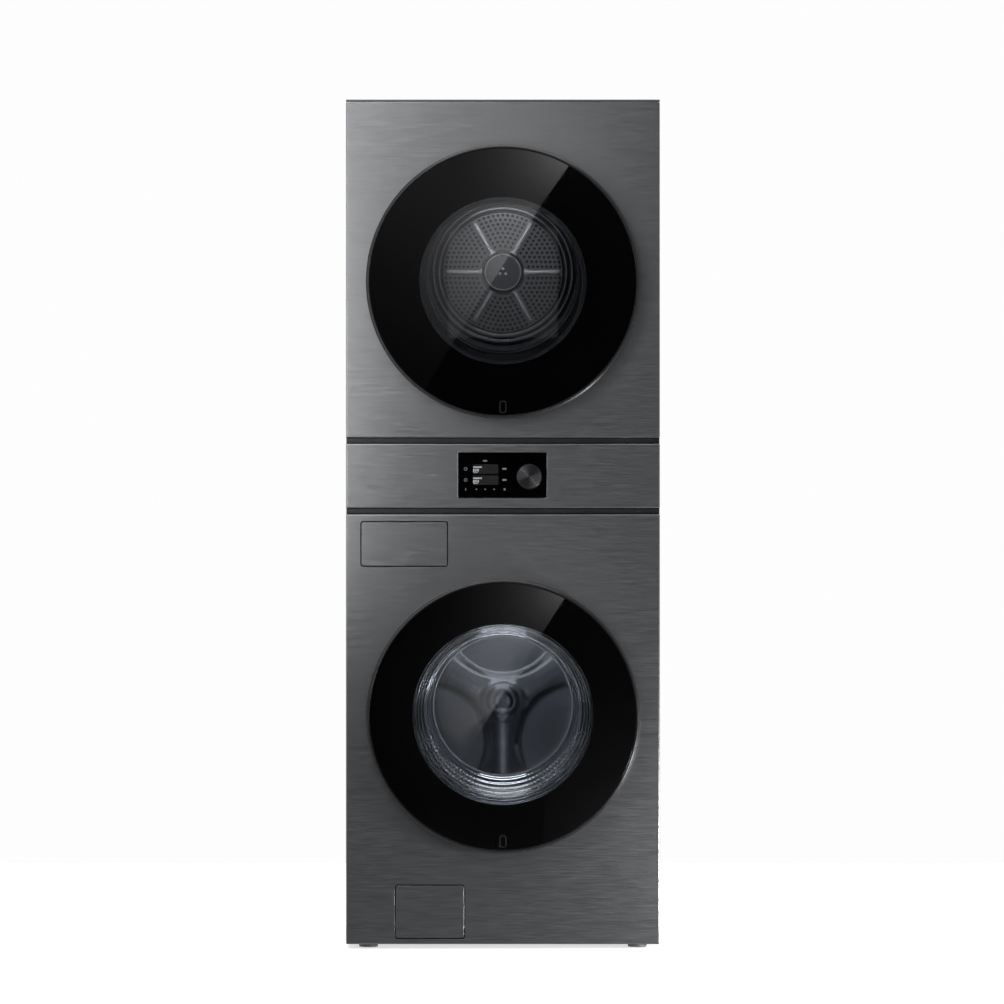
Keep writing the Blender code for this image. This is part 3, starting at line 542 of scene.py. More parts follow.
def door_glass(name, node, body, door, window):
    """The dark glass disc; inside the window, given as (x, z, radius), it is clear."""
    low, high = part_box(node)
    face, back, radius, steps = low.y, high.y, GLASS_RADIUS, 192
    centre, opening_radius = window[:2], window[2]
    rows = [ring(centre, opening_radius, face, steps)]
    for size, y in ((radius - 0.0016, face), (radius - 0.0005, face + 0.0005),
                    (radius, face + 0.0016), (radius, back)):
        rows.append(ring((door.x, door.z), size, y, steps))
    rows.append(ring(centre, opening_radius, back, steps))
    glass = sweep(name, rows, INK, body, replaces=(node,), slot="black_glass")
    glass.data.materials.append(CLEAR_PANE)
    for polygon in glass.data.polygons:
        if len(polygon.vertices) == steps:
            polygon.material_index = 1
    soften(glass, 0.0)


def pictogram(name, body, door, x_size, z_size, drop):
    """A faint rounded outline printed near the foot of a door."""
    low = (door.x - x_size / 2, door.z - drop - z_size / 2)
    high = (door.x + x_size / 2, door.z - drop + z_size / 2)
    line = 0.0022
    hole = rounded_rect((low[0] + line, low[1] + line), (high[0] - line, high[1] - line), 0.004)
    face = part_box("washer_door_glass")[0].y
    slab(name, rounded_rect(low, high, 0.006), face - 0.0001, face + 0.0004, 0.00005, PICTO, body,
         [hole])


def washer_bowl():
    """The clear moulded bowl: ringed wall, fine ribs low on both sides, clear back."""
    steps = 720
    front, back = DOOR_FRONT + 0.0063, -0.3090
    wall = [(0.1510, back, 0.5300)]
    wall_rows = 40
    for row in range(1, wall_rows):
        share = row / wall_rows
        y = back + (front - back) * share
        radius = 0.1535 + 0.0365 * share ** 0.85 + 0.0016 * math.sin(share * 34)
        wall.append((radius, y, 0.5300 - 0.0175 * share))
    wall.append((0.1915, front, 0.5125))
    outside = [(0.2125, front, 0.5084), (0.2125, -0.4005, 0.5084), (0.1965, -0.3975, 0.5130),
               (0.1940, -0.3920, 0.5140), (0.1885, -0.3760, 0.5165), (0.1845, -0.3640, 0.5185),
               (0.1790, -0.3500, 0.5210), (0.1735, -0.3360, 0.5235), (0.1660, -0.3200, 0.5270),
               (0.1580, -0.3090, 0.5290), (0.1510, -0.3050, 0.5300)]

    def ripple(turn, y):
        """Fine ribs on the wall, low on the left and on the right."""
        degrees = math.degrees(turn)
        side = max(0.0, 1 - abs((degrees - 318) / 30) ** 4, 1 - abs((degrees - 222) / 30) ** 4)
        depth = math.exp(-((y + 0.350) / 0.026) ** 2)
        return 0.0016 * side * depth * math.sin(turn * 120)
    turns = [2 * math.pi * step / steps for step in range(steps)]
    rows = []
    for radius, y, z in wall + outside:
        points = [polar(radius + ripple(turn, y), turn, 0.0, z) for turn in turns]
        rows.append([(u, y, v) for u, v in points])
    sweep("washer_bowl", rows, BOWL_WALL, "washer_door", True, replaces=("washer_door_bowl",),
          slot="clear_bowl", sharp=50.0)
    centre = (0.0, 0.5300)
    dome = [(0.0300, -0.3062), (0.1200, -0.3066), (0.1512, -0.3085), (0.1512, -0.3052),
            (0.1200, -0.3030), (0.0300, -0.3025)]
    lathe("washer_bowl_back", dome, centre, BOWL_GLASS, "washer_door", steps, wraps=False,
          slot="clear_bowl")
    # The bead's pale grey is a painted highlight for the bright line along the glass rim.
    bead = [(0.1510, -0.3100), (0.1516, -0.3112), (0.1530, -0.3118), (0.1544, -0.3112),
            (0.1550, -0.3100), (0.1540, -0.3085), (0.1520, -0.3085)]
    lathe("washer_bowl_bead", bead, centre, BEAD_PAINTED_HIGHLIGHT, "washer_door", steps, slot="clear_bowl")


def dryer_liner():
    """The ring behind the dryer's glass and its clear inner pane."""
    centre = (DRYER_DOOR.x, DRYER_DOOR.z)
    front = DOOR_FRONT + 0.0063
    profile = [(0.2125, front), (0.2125, -0.401), (0.187, -0.4008), (0.1825, -0.3660),
               (0.1790, -0.3585), (0.1730, -0.3585), (0.1725, -0.3640), (0.1770, -0.3700),
               (0.1825, -0.3990), (0.1835, front)]
    lathe("dryer_liner", profile, centre, SLATE, "dryer_door", 160, edge=0.0008,
          replaces=("dryer_door_liner",), slot="grey_plastic")
    pane = [(0.02, -0.3632), (0.1720, -0.3632), (0.1720, -0.3592), (0.02, -0.3592)]
    lathe("dryer_inner_pane", pane, centre, CLEAR_PANE, "dryer_door", 128, wraps=False,
          slot="clear_bowl")


def doors():
    door_ring("washer_door_ring", "washer_door_hinge", "washer_door", WASHER_DOOR)
    door_ring("dryer_door_ring", "dryer_door_hinge", "dryer_door", DRYER_DOOR)
    door_glass("washer_glass", "washer_door_glass", "washer_door", WASHER_DOOR,
               (0.0, 0.5128, 0.1972))
    door_glass("dryer_glass", "dryer_door_glass", "dryer_door", DRYER_DOOR,
               (DRYER_DOOR.x, DRYER_DOOR.z + 0.002, 0.1825))
    pictogram("washer_pictogram", "washer_door", WASHER_DOOR, 0.015, 0.027, 0.272)
    pictogram("dryer_pictogram", "dryer_door", DRYER_DOOR, 0.015, 0.027, 0.273)
    washer_bowl()
    dryer_liner()


# ---------------------------------------------------------------- controls

def control_display():
    """The dark glass with its screen cells, key marks and labels, all generic."""
    low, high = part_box("display_glass")
    hole = circle(DIAL.x, DIAL.z, 0.0045, 24)
    face = low.y
    slab("display_pane", front_of("display_glass", 0.0035), face, high.y, 0.0005, INK, "cabinet",
         [hole], replaces=("display_glass",), slot="black_glass")
    slab("display_rim", front_of("display_glass", *SEAT), face - 0.0001, FRONT + 0.004, 0.0003,
         CHROME, "cabinet", [front_of("display_glass", 0.0035, -0.0001)])
    marks = Vector((low.x, 0.0, low.z))

    def mark(name, x, z, width, height, material=PRINT, radius=0.0004):
        """A printed or lit patch, centred x and z from the pane's lower left corner."""
        centre = marks + Vector((x, 0.0, z))
        corner = (centre.x - width / 2, centre.z - height / 2)
        opposite = (centre.x + width / 2, centre.z + height / 2)
        slab(name, rounded_rect(corner, opposite, radius, 3), face - 0.00012, face + 0.0004,
             0.00003, material, "cabinet")
    for row, z in enumerate((0.0637, 0.0395)):
        mark("screen_cell_%d" % row, 0.0600, z - 0.0002, 0.0560, 0.0205, SCREEN, 0.0012)
        for line, (x, drop, width, height) in enumerate(((0.0425, 0.0040, 0.0190, 0.0032),
                                                         (0.0345, -0.0030, 0.0032, 0.0068),
                                                         (0.0390, -0.0026, 0.0034, 0.0060),
                                                         (0.0436, -0.0026, 0.0036, 0.0060),
                                                         (0.0385, -0.0075, 0.0100, 0.0014))):
            mark("screen_text_%d_%d" % (row, line), x, z + drop, width, height, SEGMENT, 0.0006)
        mark("label_%d" % row, 0.1013, z + 0.0002, 0.0090, 0.0036)
        centre = (marks.x + 0.0166, marks.z + z + 0.0002)
        slab("key_ring_%d" % row, circle(*centre, 0.0036, 32), face - 0.00012, face + 0.0004,
             0.00003, PRINT, "cabinet", [circle(*centre, 0.0026, 32)])
    for name, x, z, width, height in (("key_mark_0", 0.0400, 0.0193, 0.0034, 0.0022),
                                      ("key_mark_1", 0.0594, 0.0193, 0.0034, 0.0022),
                                      ("key_mark_2", 0.0787, 0.0193, 0.0034, 0.0022),
                                      ("key_mark_left", 0.0166, 0.0190, 0.0016, 0.0050),
                                      ("key_mark_right", 0.1017, 0.0192, 0.0040, 0.0040),
                                      ("status_mark", 0.0590, 0.0815, 0.0090, 0.0028)):
        mark(name, x, z, width, height)


def dial():
    """The dial: a spun face, a bright rim and a knurled side."""
    low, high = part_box("dial_knob")
    radius, face, back = (high.x - low.x) / 2, low.y, DIAL.y - 0.001
    centre, body = (DIAL.x, DIAL.z), "dial"
    steps = 180
    profile = [(0.0265, face + 0.0016), (radius - 0.0006, face + 0.0050), (radius, back - 0.002),
               (radius - 0.0006, back), (0.0030, back), (0.0030, high.y)]
    rows = []
    for row, (size, y) in enumerate(profile):
        knurl = 0.00035 if row in (1, 2) else 0.0
        points = ring(centre, size, y, steps)
        points[1::2] = ring(centre, size - knurl, y, steps)[1::2]
        rows.append(points)
    sweep("dial_grip", rows, DIAL_SIDE, body, replaces=("dial_knob",), slot="spun_metal")
    grooves = []
    for step in range(12):
        size = 0.0238 - 0.0019 * step
        grooves += [(size, face + 0.0002), (size - 0.0012, face + 0.0002),
                    (size - 0.0014, face + 0.0004), (size - 0.0018, face + 0.0004)]
    profile = [(0.0262, face + 0.0016), (0.0262, face + 0.0006), (0.0256, face),
               (0.0244, face)] + grooves
    lathe("dial_face", profile[::-1] + [(0.0010, face + 0.0016)], centre, DIAL_FACE, body, 96,
          slot="spun_metal")


# ---------------------------------------------------------------- washer inside

def drum_back():
    """The washer drum's pressed back: three round recesses between three arms, and a hub."""
    bm = bmesh.new()
    arm_y, depth = 0.1240, 0.0105
    rows, steps = 70, 216
    outer, hub_radius, hub_width = 0.2625, 0.0275, 0.0085

    def height(radius, turn):
        x, z = polar(radius, turn)
        sunk, bowl = 0.0, 0.0
        for angle in (90, 210, 330):
            lobe_x, lobe_z = polar(0.187, math.radians(angle))
            away = math.hypot(x - lobe_x, z - lobe_z)
            share = min(max((0.1405 - away) / 0.020, 0.0), 1.0)
            sunk = max(sunk, share * share * (3 - 2 * share))
            bowl = max(bowl, 0.004 * (1 - (away / 0.1205) ** 2))
        bulge = 0.0
        for angle in (30, 150, 270):
            arm_x, arm_z = polar(1.0, math.radians(angle))
            along, across = x * arm_x + z * arm_z, -x * arm_z + z * arm_x
            if along > 0:
                rise = max(0.0, 1 - (across / 0.032) ** 2) * min(along / 0.06, 1.0)
                bulge = max(bulge, 0.0065 * rise)
        hub = 0.0
        if abs(radius - hub_radius) < hub_width:
            hub = 0.0105 * math.sqrt(1 - ((radius - hub_radius) / hub_width) ** 2)
        skirt = 0.004
        if radius > hub_radius:
            skirt *= math.exp(-((radius - 0.040) / 0.008) ** 2)
        return arm_y + depth * sunk + bowl - bulge - hub - skirt
    turns = [2 * math.pi * step / steps for step in range(steps)]
    loops = []
    for row in range(1, rows + 1):
        radius = outer * row / rows
        points = [polar(radius, turn, 0.0, TUB_Z) for turn in turns]
        loops.append(add_loop(bm, [(u, height(radius, turn), v)
                                   for (u, v), turn in zip(points, turns)]))
    skin(bm, loops)
    tip = bm.verts.new((0.0, height(0.0, 0.0), TUB_Z))
    for index, vert in enumerate(loops[0]):
        bm.faces.new((tip, vert, loops[0][(index + 1) % steps]))
    back = finish_mesh("washer_drum_rear", bm, DRUM_STEEL, "wash_drum",
                       replaces=("washer_drum_back",), slot="stainless", sharp=80.0)
    thick = back.modifiers.new("Thickness", 'SOLIDIFY')
    thick.thickness = 0.0012
    thick.offset = -1.0


def washer_drum():
    """The drum's shell and lifters, and the rubber boot round its mouth."""
    profile = [(0.214, -0.2915), (0.2155, -0.2925), (0.254, -0.2925), (0.262, -0.289),
               (0.267, -0.280), (0.267, 0.138), (0.2652, 0.138), (0.2652, -0.2795),
               (0.261, -0.2875), (0.2535, -0.2908), (0.2155, -0.2905)]
    lathe("washer_drum_shell", profile, (0.0, TUB_Z), STAINLESS, "wash_drum",
          replaces=("washer_drum",), slot="stainless")
    for number, angle in enumerate((30, 150, 270), 1):
        paddle("washer_lifter_skin_%d" % number, math.radians(angle), TUB_Z, 0.2610,
               (-0.252, 0.350), 0.038, (6, 0.25), 0.027, 0.45, 0.7, GREY, "wash_drum",
               replaces=("washer_lifter_%d" % number,), slot="grey_plastic")
    sections = [(0.2035, -0.3774), (0.2035, -0.3660), (0.2120, -0.3600), (0.2190, -0.3560),
                (0.2220, -0.3500), (0.2220, -0.3400), (0.2200, -0.3350), (0.2080, -0.3320),
                (0.2080, -0.3165), (0.2040, -0.3165), (0.2040, -0.3350), (0.2140, -0.3380),
                (0.2180, -0.3420), (0.2180, -0.3490), (0.2150, -0.3530), (0.2050, -0.3590),
                (0.1990, -0.3630), (0.1935, -0.3660), (0.1920, -0.3700), (0.1925, -0.3760),
                (0.1940, -0.3774)]
    rows = []
    for radius, y in sections:
        z = min(TUB_Z, 0.515 + (TUB_Z - 0.515) * (y + 0.377) / 0.042)
        rows.append(ring((0.0, z), radius, y))
    sweep("boot_skin", rows, RUBBER, "cabinet", True, replaces=("door_boot",), slot="rubber_grey",
          sharp=60.0)


def spoke(radial, across, y, angle, axis_z):
    """The point at these distances along and across a spoke of a drum."""
    return (radial * math.cos(angle) - across * math.sin(angle), y,
            axis_z + radial * math.sin(angle) + across * math.cos(angle))


def paddle(name, angle, axis_z, wall, span_y, rise, ramp, base, waist, blunt, material, body,
           **ties):
    """A rounded wedge along a drum's wall, lower at its ends and narrowed at its waist."""
    rows = []
    for row in range(15):
        share = row / 14
        height = rise * min(1.0, ramp[0] * min(share, 1 - share) + ramp[1]) ** 0.6
        points = []
        for step in range(13):
            turn = math.pi * step / 12
            across = base * math.cos(turn) * (1 - waist * math.sin(turn) ** 2)
            up = height * math.sin(turn) ** blunt
            points.append(spoke(wall - up, across, span_y[0] + span_y[1] * share, angle, axis_z))
        rows.append(points)
    sweep(name, rows, material, body, sharp=50.0, **ties)


# ---------------------------------------------------------------- dryer inside

def tumble_back():
    """The dryer drum's back: a perforated disc in six sectors, ribs, a hub and pressed rings."""
    centre = (0.0, TUMBLE_Z)
    body = "tumble_drum"
    face = 0.1915
    holes = []
    for sector in range(6):
        start = math.radians(60 * sector)
        for row in range(8):
            radius, count = 0.0597 + 0.00995 * row, 4 + row
            margin = 0.0072 / radius
            for step in range(count):
                turn = start + margin + (math.radians(60) - 2 * margin) * (step + 0.5) / count
                holes.append(circle(*polar(radius, turn, *centre), 0.0034, 12))
    rings = [(0.0, face), (0.0, face + 0.0015)]
    plate("dryer_drum_screen", circle(*centre, 0.1350), rings, SCREEN_STEEL, body, holes, rings,
          slot="stainless")
    profile = [(0.1345, 0.1915), (0.1354, 0.1900), (0.1362, 0.1985), (0.1388, 0.1985),
               (0.1396, 0.1885), (0.1415, 0.1872), (0.1445, 0.1868), (0.1470, 0.1872),
               (0.1484, 0.1890), (0.1490, 0.1985), (0.1512, 0.1985), (0.1520, 0.1875),
               (0.1540, 0.1858), (0.1575, 0.1852), (0.1600, 0.1858), (0.1622, 0.1880),
               (0.1632, 0.1985), (0.1660, 0.1985), (0.1670, 0.1920), (0.2400, 0.1920),
               (0.2700, 0.1900), (0.2825, 0.1880), (0.2825, 0.1990), (0.1345, 0.1990)]
    lathe("dryer_drum_rear", profile, centre, TUMBLE_STEEL, body, replaces=("dryer_drum_back",),
          slot="stainless")
    # Black rings sunk in the three grooves between the pressed rings: painted shade in the creases.
    for number, (inner, outer) in enumerate(((0.1362, 0.1388), (0.1490, 0.1512),
                                             (0.1632, 0.1662))):
        shade = [(inner, 0.1955), (outer, 0.1955), (outer, 0.1984), (inner, 0.1984)]
        lathe("dryer_rear_groove_%d" % number, shade, centre, STRIP_BLACK, body, slot="stainless")
    hub = [(0.0020, 0.1775), (0.0385, 0.1775), (0.0400, 0.1790), (0.0424, 0.1820),
           (0.0430, 0.1890), (0.0455, 0.1905), (0.0475, 0.1890), (0.0495, 0.1890),
           (0.0510, 0.1915), (0.0510, 0.1960), (0.0020, 0.1960)]
    rim = [(0.0386, 0.1776), (0.0390, 0.1760), (0.0398, 0.1752), (0.0410, 0.1754),
           (0.0418, 0.1766), (0.0420, 0.1800), (0.0395, 0.1800)]
    # The hub rim and the rivets take the pale steel as a painted highlight.
    lathe("dryer_hub_rim", rim, centre, HUB_STEEL_PAINTED_HIGHLIGHT, body, 96, slot="stainless")
    lathe("dryer_drum_hub", hub, centre, HUB_FACE, body, 96, wraps=False, slot="stainless")
    for number in range(6):
        rear_rib(number, math.radians(60 * number), face)
    for angle in (90, 210, 330):
        place = polar(0.0075, math.radians(angle), *centre)
        rivet = [(0.0004, 0.1748), (0.0022, 0.1752), (0.0034, 0.1762), (0.0036, 0.1778),
                 (0.0004, 0.1778)]
        lathe("dryer_hub_rivet_%d" % angle, rivet, place, HUB_STEEL_PAINTED_HIGHLIGHT, body, 24, wraps=False,
              slot="stainless")


def rear_rib(number, angle, face):
    """A half round bar with a flared root at the hub."""
    rows = []
    for share in (0.0, 0.02, 0.06, 0.12, 0.2, 0.5, 0.8, 0.95, 0.99, 1.0):
        flare = 0.0045 * max(0.0, 1 - share / 0.12) ** 2
        taper = max(0.0, (share - 0.95) / 0.05)
        end = max(0.35, math.sqrt(max(0.0, 1 - taper ** 2)))
        half, rise = (0.0056 + flare) * end, 0.0066 * end
        points = []
        for step in range(16):
            turn = 2 * math.pi * step / 16
            across, up = half * math.cos(turn), rise * math.sin(turn)
            out = up ** 0.6 * rise ** 0.4 if up > 0 else 0.1 * up
            points.append(spoke(0.0480 + 0.0820 * share, across, face - out, angle, TUMBLE_Z))
        rows.append(points)
    # The rib is pale steel, a painted highlight.
    sweep("dryer_rear_rib_%d" % number, rows, HUB_STEEL_PAINTED_HIGHLIGHT, "tumble_drum", slot="stainless",
          sharp=60.0)


def bulkhead():
    """The dryer's throat: a stepped cone that leads from the door to the drum."""
    door_z, mouth_z = DRYER_DOOR.z + 0.002, 1.470
    sections = [(0.2010, -0.3740, door_z), (0.2010, -0.3690, door_z), (0.1950, -0.3670, door_z),
                (0.1670, -0.3100, mouth_z), (0.2920, -0.3095, TUMBLE_Z),
                (0.2920, -0.3060, TUMBLE_Z), (0.1620, -0.3055, mouth_z), (0.1612, -0.3070, mouth_z),
                (0.1618, -0.3150, mouth_z), (0.1640, -0.3175, mouth_z),
                (0.1675, -0.3180, mouth_z), (0.1700, -0.3320, mouth_z - 0.006),
                (0.1780, -0.3450, mouth_z - 0.011), (0.1890, -0.3670, door_z),
                (0.1900, -0.3720, door_z), (0.1930, -0.3740, door_z)]
    rows = [ring((0.0, z), radius, y) for radius, y, z in sections]
    throat = sweep("dryer_throat", rows, SLATE, "cabinet", True, replaces=("dryer_bulkhead",),
                   slot="grey_plastic", sharp=40.0)
    carve(throat, operand((-0.077, -0.354, 1.20), (0.077, -0.330, 1.34)))
    well_low, well_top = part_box("lint_filter")[0].z - 0.007, 1.290
    rim = rounded_rect((-0.081, -0.357), (0.081, -0.327), 0.004)
    hollow = rounded_rect((-0.077, -0.354), (0.077, -0.330), 0.003)
    rings = [(0.0, well_top), (0.0, well_low)]
    plate("dryer_filter_well", rim, rings, SLATE, "cabinet", [hollow], rings, plane="top",
          slot="grey_plastic")


def hot_air_duct():
    """The open box behind the dryer's perforated back, with painted shade: a black sheet midway
    inside.
    """
    low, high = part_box("heater_duct")
    wall = 0.0012
    inner = front_of("heater_duct", 0.019, -wall)
    rings = [(0.0, low.y), (0.0, high.y)]
    plate("heater_duct_shell", front_of("heater_duct", 0.02), rings, ZINC, "cabinet", [inner],
          rings, replaces=("heater_duct",), slot="zinc_sheet")
    # A black sheet halfway down the duct: painted shade where the duct goes dark.
    middle_y = low.y + 0.10
    slab("heater_duct_painted_shade", inner, middle_y, middle_y + 0.002, 0.0005, DUCT_PAINTED_SHADE, "cabinet",
         slot="zinc_sheet")


def tumble_shell():
    """The dryer drum's shell and its baffles."""
    profile = [(0.262, -0.3020), (0.280, -0.3020), (0.285, -0.3000), (0.287, -0.2950),
               (0.287, 0.198), (0.285, 0.198), (0.285, -0.2940), (0.2835, -0.2985),
               (0.2795, -0.3000), (0.262, -0.3000)]
    lathe("dryer_drum_shell", profile, (0.0, TUMBLE_Z), TUMBLE_STEEL, "tumble_drum",
          replaces=("dryer_drum",), slot="stainless")
    for number, angle in enumerate((90, 210, 330), 1):
        paddle("dryer_baffle_%d" % number, math.radians(angle), TUMBLE_Z, 0.2840,
               (-0.268, 0.416), 0.049, (7, 0.2), 0.023, 0.0, 0.8, TUMBLE_STEEL, "tumble_drum",
               slot="stainless")


# ---------------------------------------------------------------- cabinet sides, top and rear

def channel(sign, low, high):
    """The outline, seen from above, of a folded side panel with a lip at each end."""
    thick, bend = 0.0012, 0.0040
    inside, outside = sorted((abs(low.x), abs(high.x)))

    def corner(radius, y, start, step_angle):
        return [polar(radius, math.radians(start + step_angle * step), outside - bend, y)
                for step in range(7)]

    def outline(grow):
        front, back = low.y + bend, high.y - bend
        points = [(inside, low.y)] + corner(bend, front, -90, 15) + corner(bend, back, 0, 15)
        points += [(inside, high.y), (inside, high.y - thick)]
        points += corner(bend - thick, back, 90, -15) + corner(bend - thick, front, 0, -15)
        points.append((inside, low.y + thick))
        return [(sign * x, y) for x, y in points]
    return outline


def side_panels():
    for node in ("washer_side_left", "washer_side_right", "dryer_side_left", "dryer_side_right"):
        low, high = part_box(node)
        sign = 1 if low.x > 0 else -1
        rings = [(0.0, low.z), (0.0, high.z)]
        plate(node + "_skin", channel(sign, low, high), rings, PAINT, "cabinet", plane="top",
              replaces=(node,), slot="cabinet_sheet")


def top():
    """The lid: a plain plate with a soft edge."""
    low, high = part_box("top_cover")
    outline = rounded_rect((low.x, low.y), (high.x, high.y), 0.005)
    slab("top_skin", outline, high.z, low.z, 0.0004, PAINT, "cabinet", plane="top",
         replaces=("top_cover",), slot="cabinet_sheet")


def screws(name, places):
    """Flanged hexagon screws on the rear, all as one piece."""
    bm = bmesh.new()
    rows = {32: ((0.0060, 0.0), (0.0060, 0.0007), (0.0044, 0.0014)),
            6: ((0.0040, 0.0008), (0.0040, 0.0040), (0.0033, 0.0046))}
    for place in places:
        for sides, profile in rows.items():
            loops = [add_loop(bm, ring(place, radius, REAR + out, sides))
                     for radius, out in profile]
            skin(bm, loops)
            close(bm, loops)
    finish_mesh(name, bm, STAINLESS, "cabinet")


def span(first, last, count):
    return [first + (last - first) * step / (count - 1) for step in range(count)]


def grid(columns, rows):
    return [(x, z) for x in columns for z in rows]


def teeth(start, pitch, count, tooth):
    """The (radius, distance) points of one tooth, repeated along an axis."""
    return [(radius, start + pitch * step + along)
            for step in range(count) for radius, along in tooth]


COLD, HOT = (0.238, 0.925), (0.278, 0.925)
DRAIN = (-0.150, 0.100)
EXHAUST = (-0.060, 1.100)
SCREW_INSET = 0.013


def rear_panel(name, node, holes, fields):
    """A rear sheet with its ports cut out and its long fields pressed inwards."""
    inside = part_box(node)[0].y
    depth, lean = 0.0050, 0.0080
    shapes = [rounded_rect(start, end, 0.0120) for start, end in fields]
    rings = [(0.0, REAR), (0.0, inside)]
    plate(name, front_of(node, 0.003), rings, ZINC, "cabinet", holes + shapes, rings,
          replaces=(node,), slot="zinc_sheet")
    dish = [(lean, REAR - depth), (0.75 * lean, REAR - 0.9 * depth),
            (0.25 * lean, REAR - 0.1 * depth), (0.0, REAR), (0.0, inside),
            (0.9 * lean, inside - 0.9 * depth)]
    for number, shape in enumerate(shapes):
        plate("%s_field_%d" % (name, number), shape, dish, ZINC, "cabinet", slot="zinc_sheet")


def cover(name, low, high, bars):
    """A screwed service cover with raised bars; bars are (x0, z0, x1, z1)."""
    slab(name, rounded_rect(low, high, 0.014), REAR + 0.0020, REAR, 0.0010, ZINC, "cabinet",
         slot="zinc_sheet")
    for number, (left, bottom, right, top_z) in enumerate(bars):
        half = min(right - left, top_z - bottom) / 2
        slab("%s_bar_%d" % (name, number), rounded_rect((left, bottom), (right, top_z), half),
             REAR + 0.0055, REAR + 0.0015, 0.0030, ZINC, "cabinet", slot="zinc_sheet")


def washer_rear():
    """The washer's rear sheet and cover, two water inlets and the drain outlet."""
    low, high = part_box("washer_rear_panel")
    ports = [circle(*COLD, 0.016, 48), circle(*HOT, 0.016, 48), circle(*DRAIN, 0.015, 48)]
    fields = [((-0.312, 0.190), (-0.258, 0.860)), ((0.258, 0.190), (0.312, 0.860)),
              ((-0.060, 0.070), (0.290, 0.130))]
    rear_panel("washer_rear_skin", "washer_rear_panel", ports, fields)
    cover("washer_service_cover", (-0.225, 0.200), (0.225, 0.850),
          [(x - 0.014, 0.290, x + 0.014, 0.760) for x in span(-0.135, 0.135, 4)])
    sides = (low.x + SCREW_INSET, high.x - SCREW_INSET)
    screws("washer_rear_screws", grid(sides, span(0.060, 0.985, 5))
           + grid((-0.207, 0.207), span(0.222, 0.828, 4)) + grid((-0.070, 0.070), (0.222, 0.828)))
    collar = [(0.0134, 0.4030), (0.0165, 0.4030), (0.0172, 0.4037), (0.0172, 0.4063),
              (0.0165, 0.4070), (0.0134, 0.4070)]
    thread = teeth(0.4078, 0.0017, 4, ((0.0134, 0.0), (0.0142, 0.0006), (0.0142, 0.0009),
                                       (0.0134, 0.0015)))
    thread = [(0.0128, 0.4075)] + thread + [(0.0128, 0.4148)]
    for name, place, material in (("cold", COLD, BLUE_CAP), ("hot", HOT, RED_CAP)):
        lathe("inlet_collar_" + name, collar, place, material, "cabinet", 40)
        lathe("inlet_thread_" + name, thread, place, GREY, "cabinet", 40)
    barb = teeth(0.4020, 0.0042, 3, ((0.0124, 0.0), (0.0140, 0.0030), (0.0124, 0.0036)))
    lathe("drain_barb", [(0.0118, 0.4010)] + barb + [(0.0118, 0.4148)], DRAIN, GREY, "cabinet", 40)


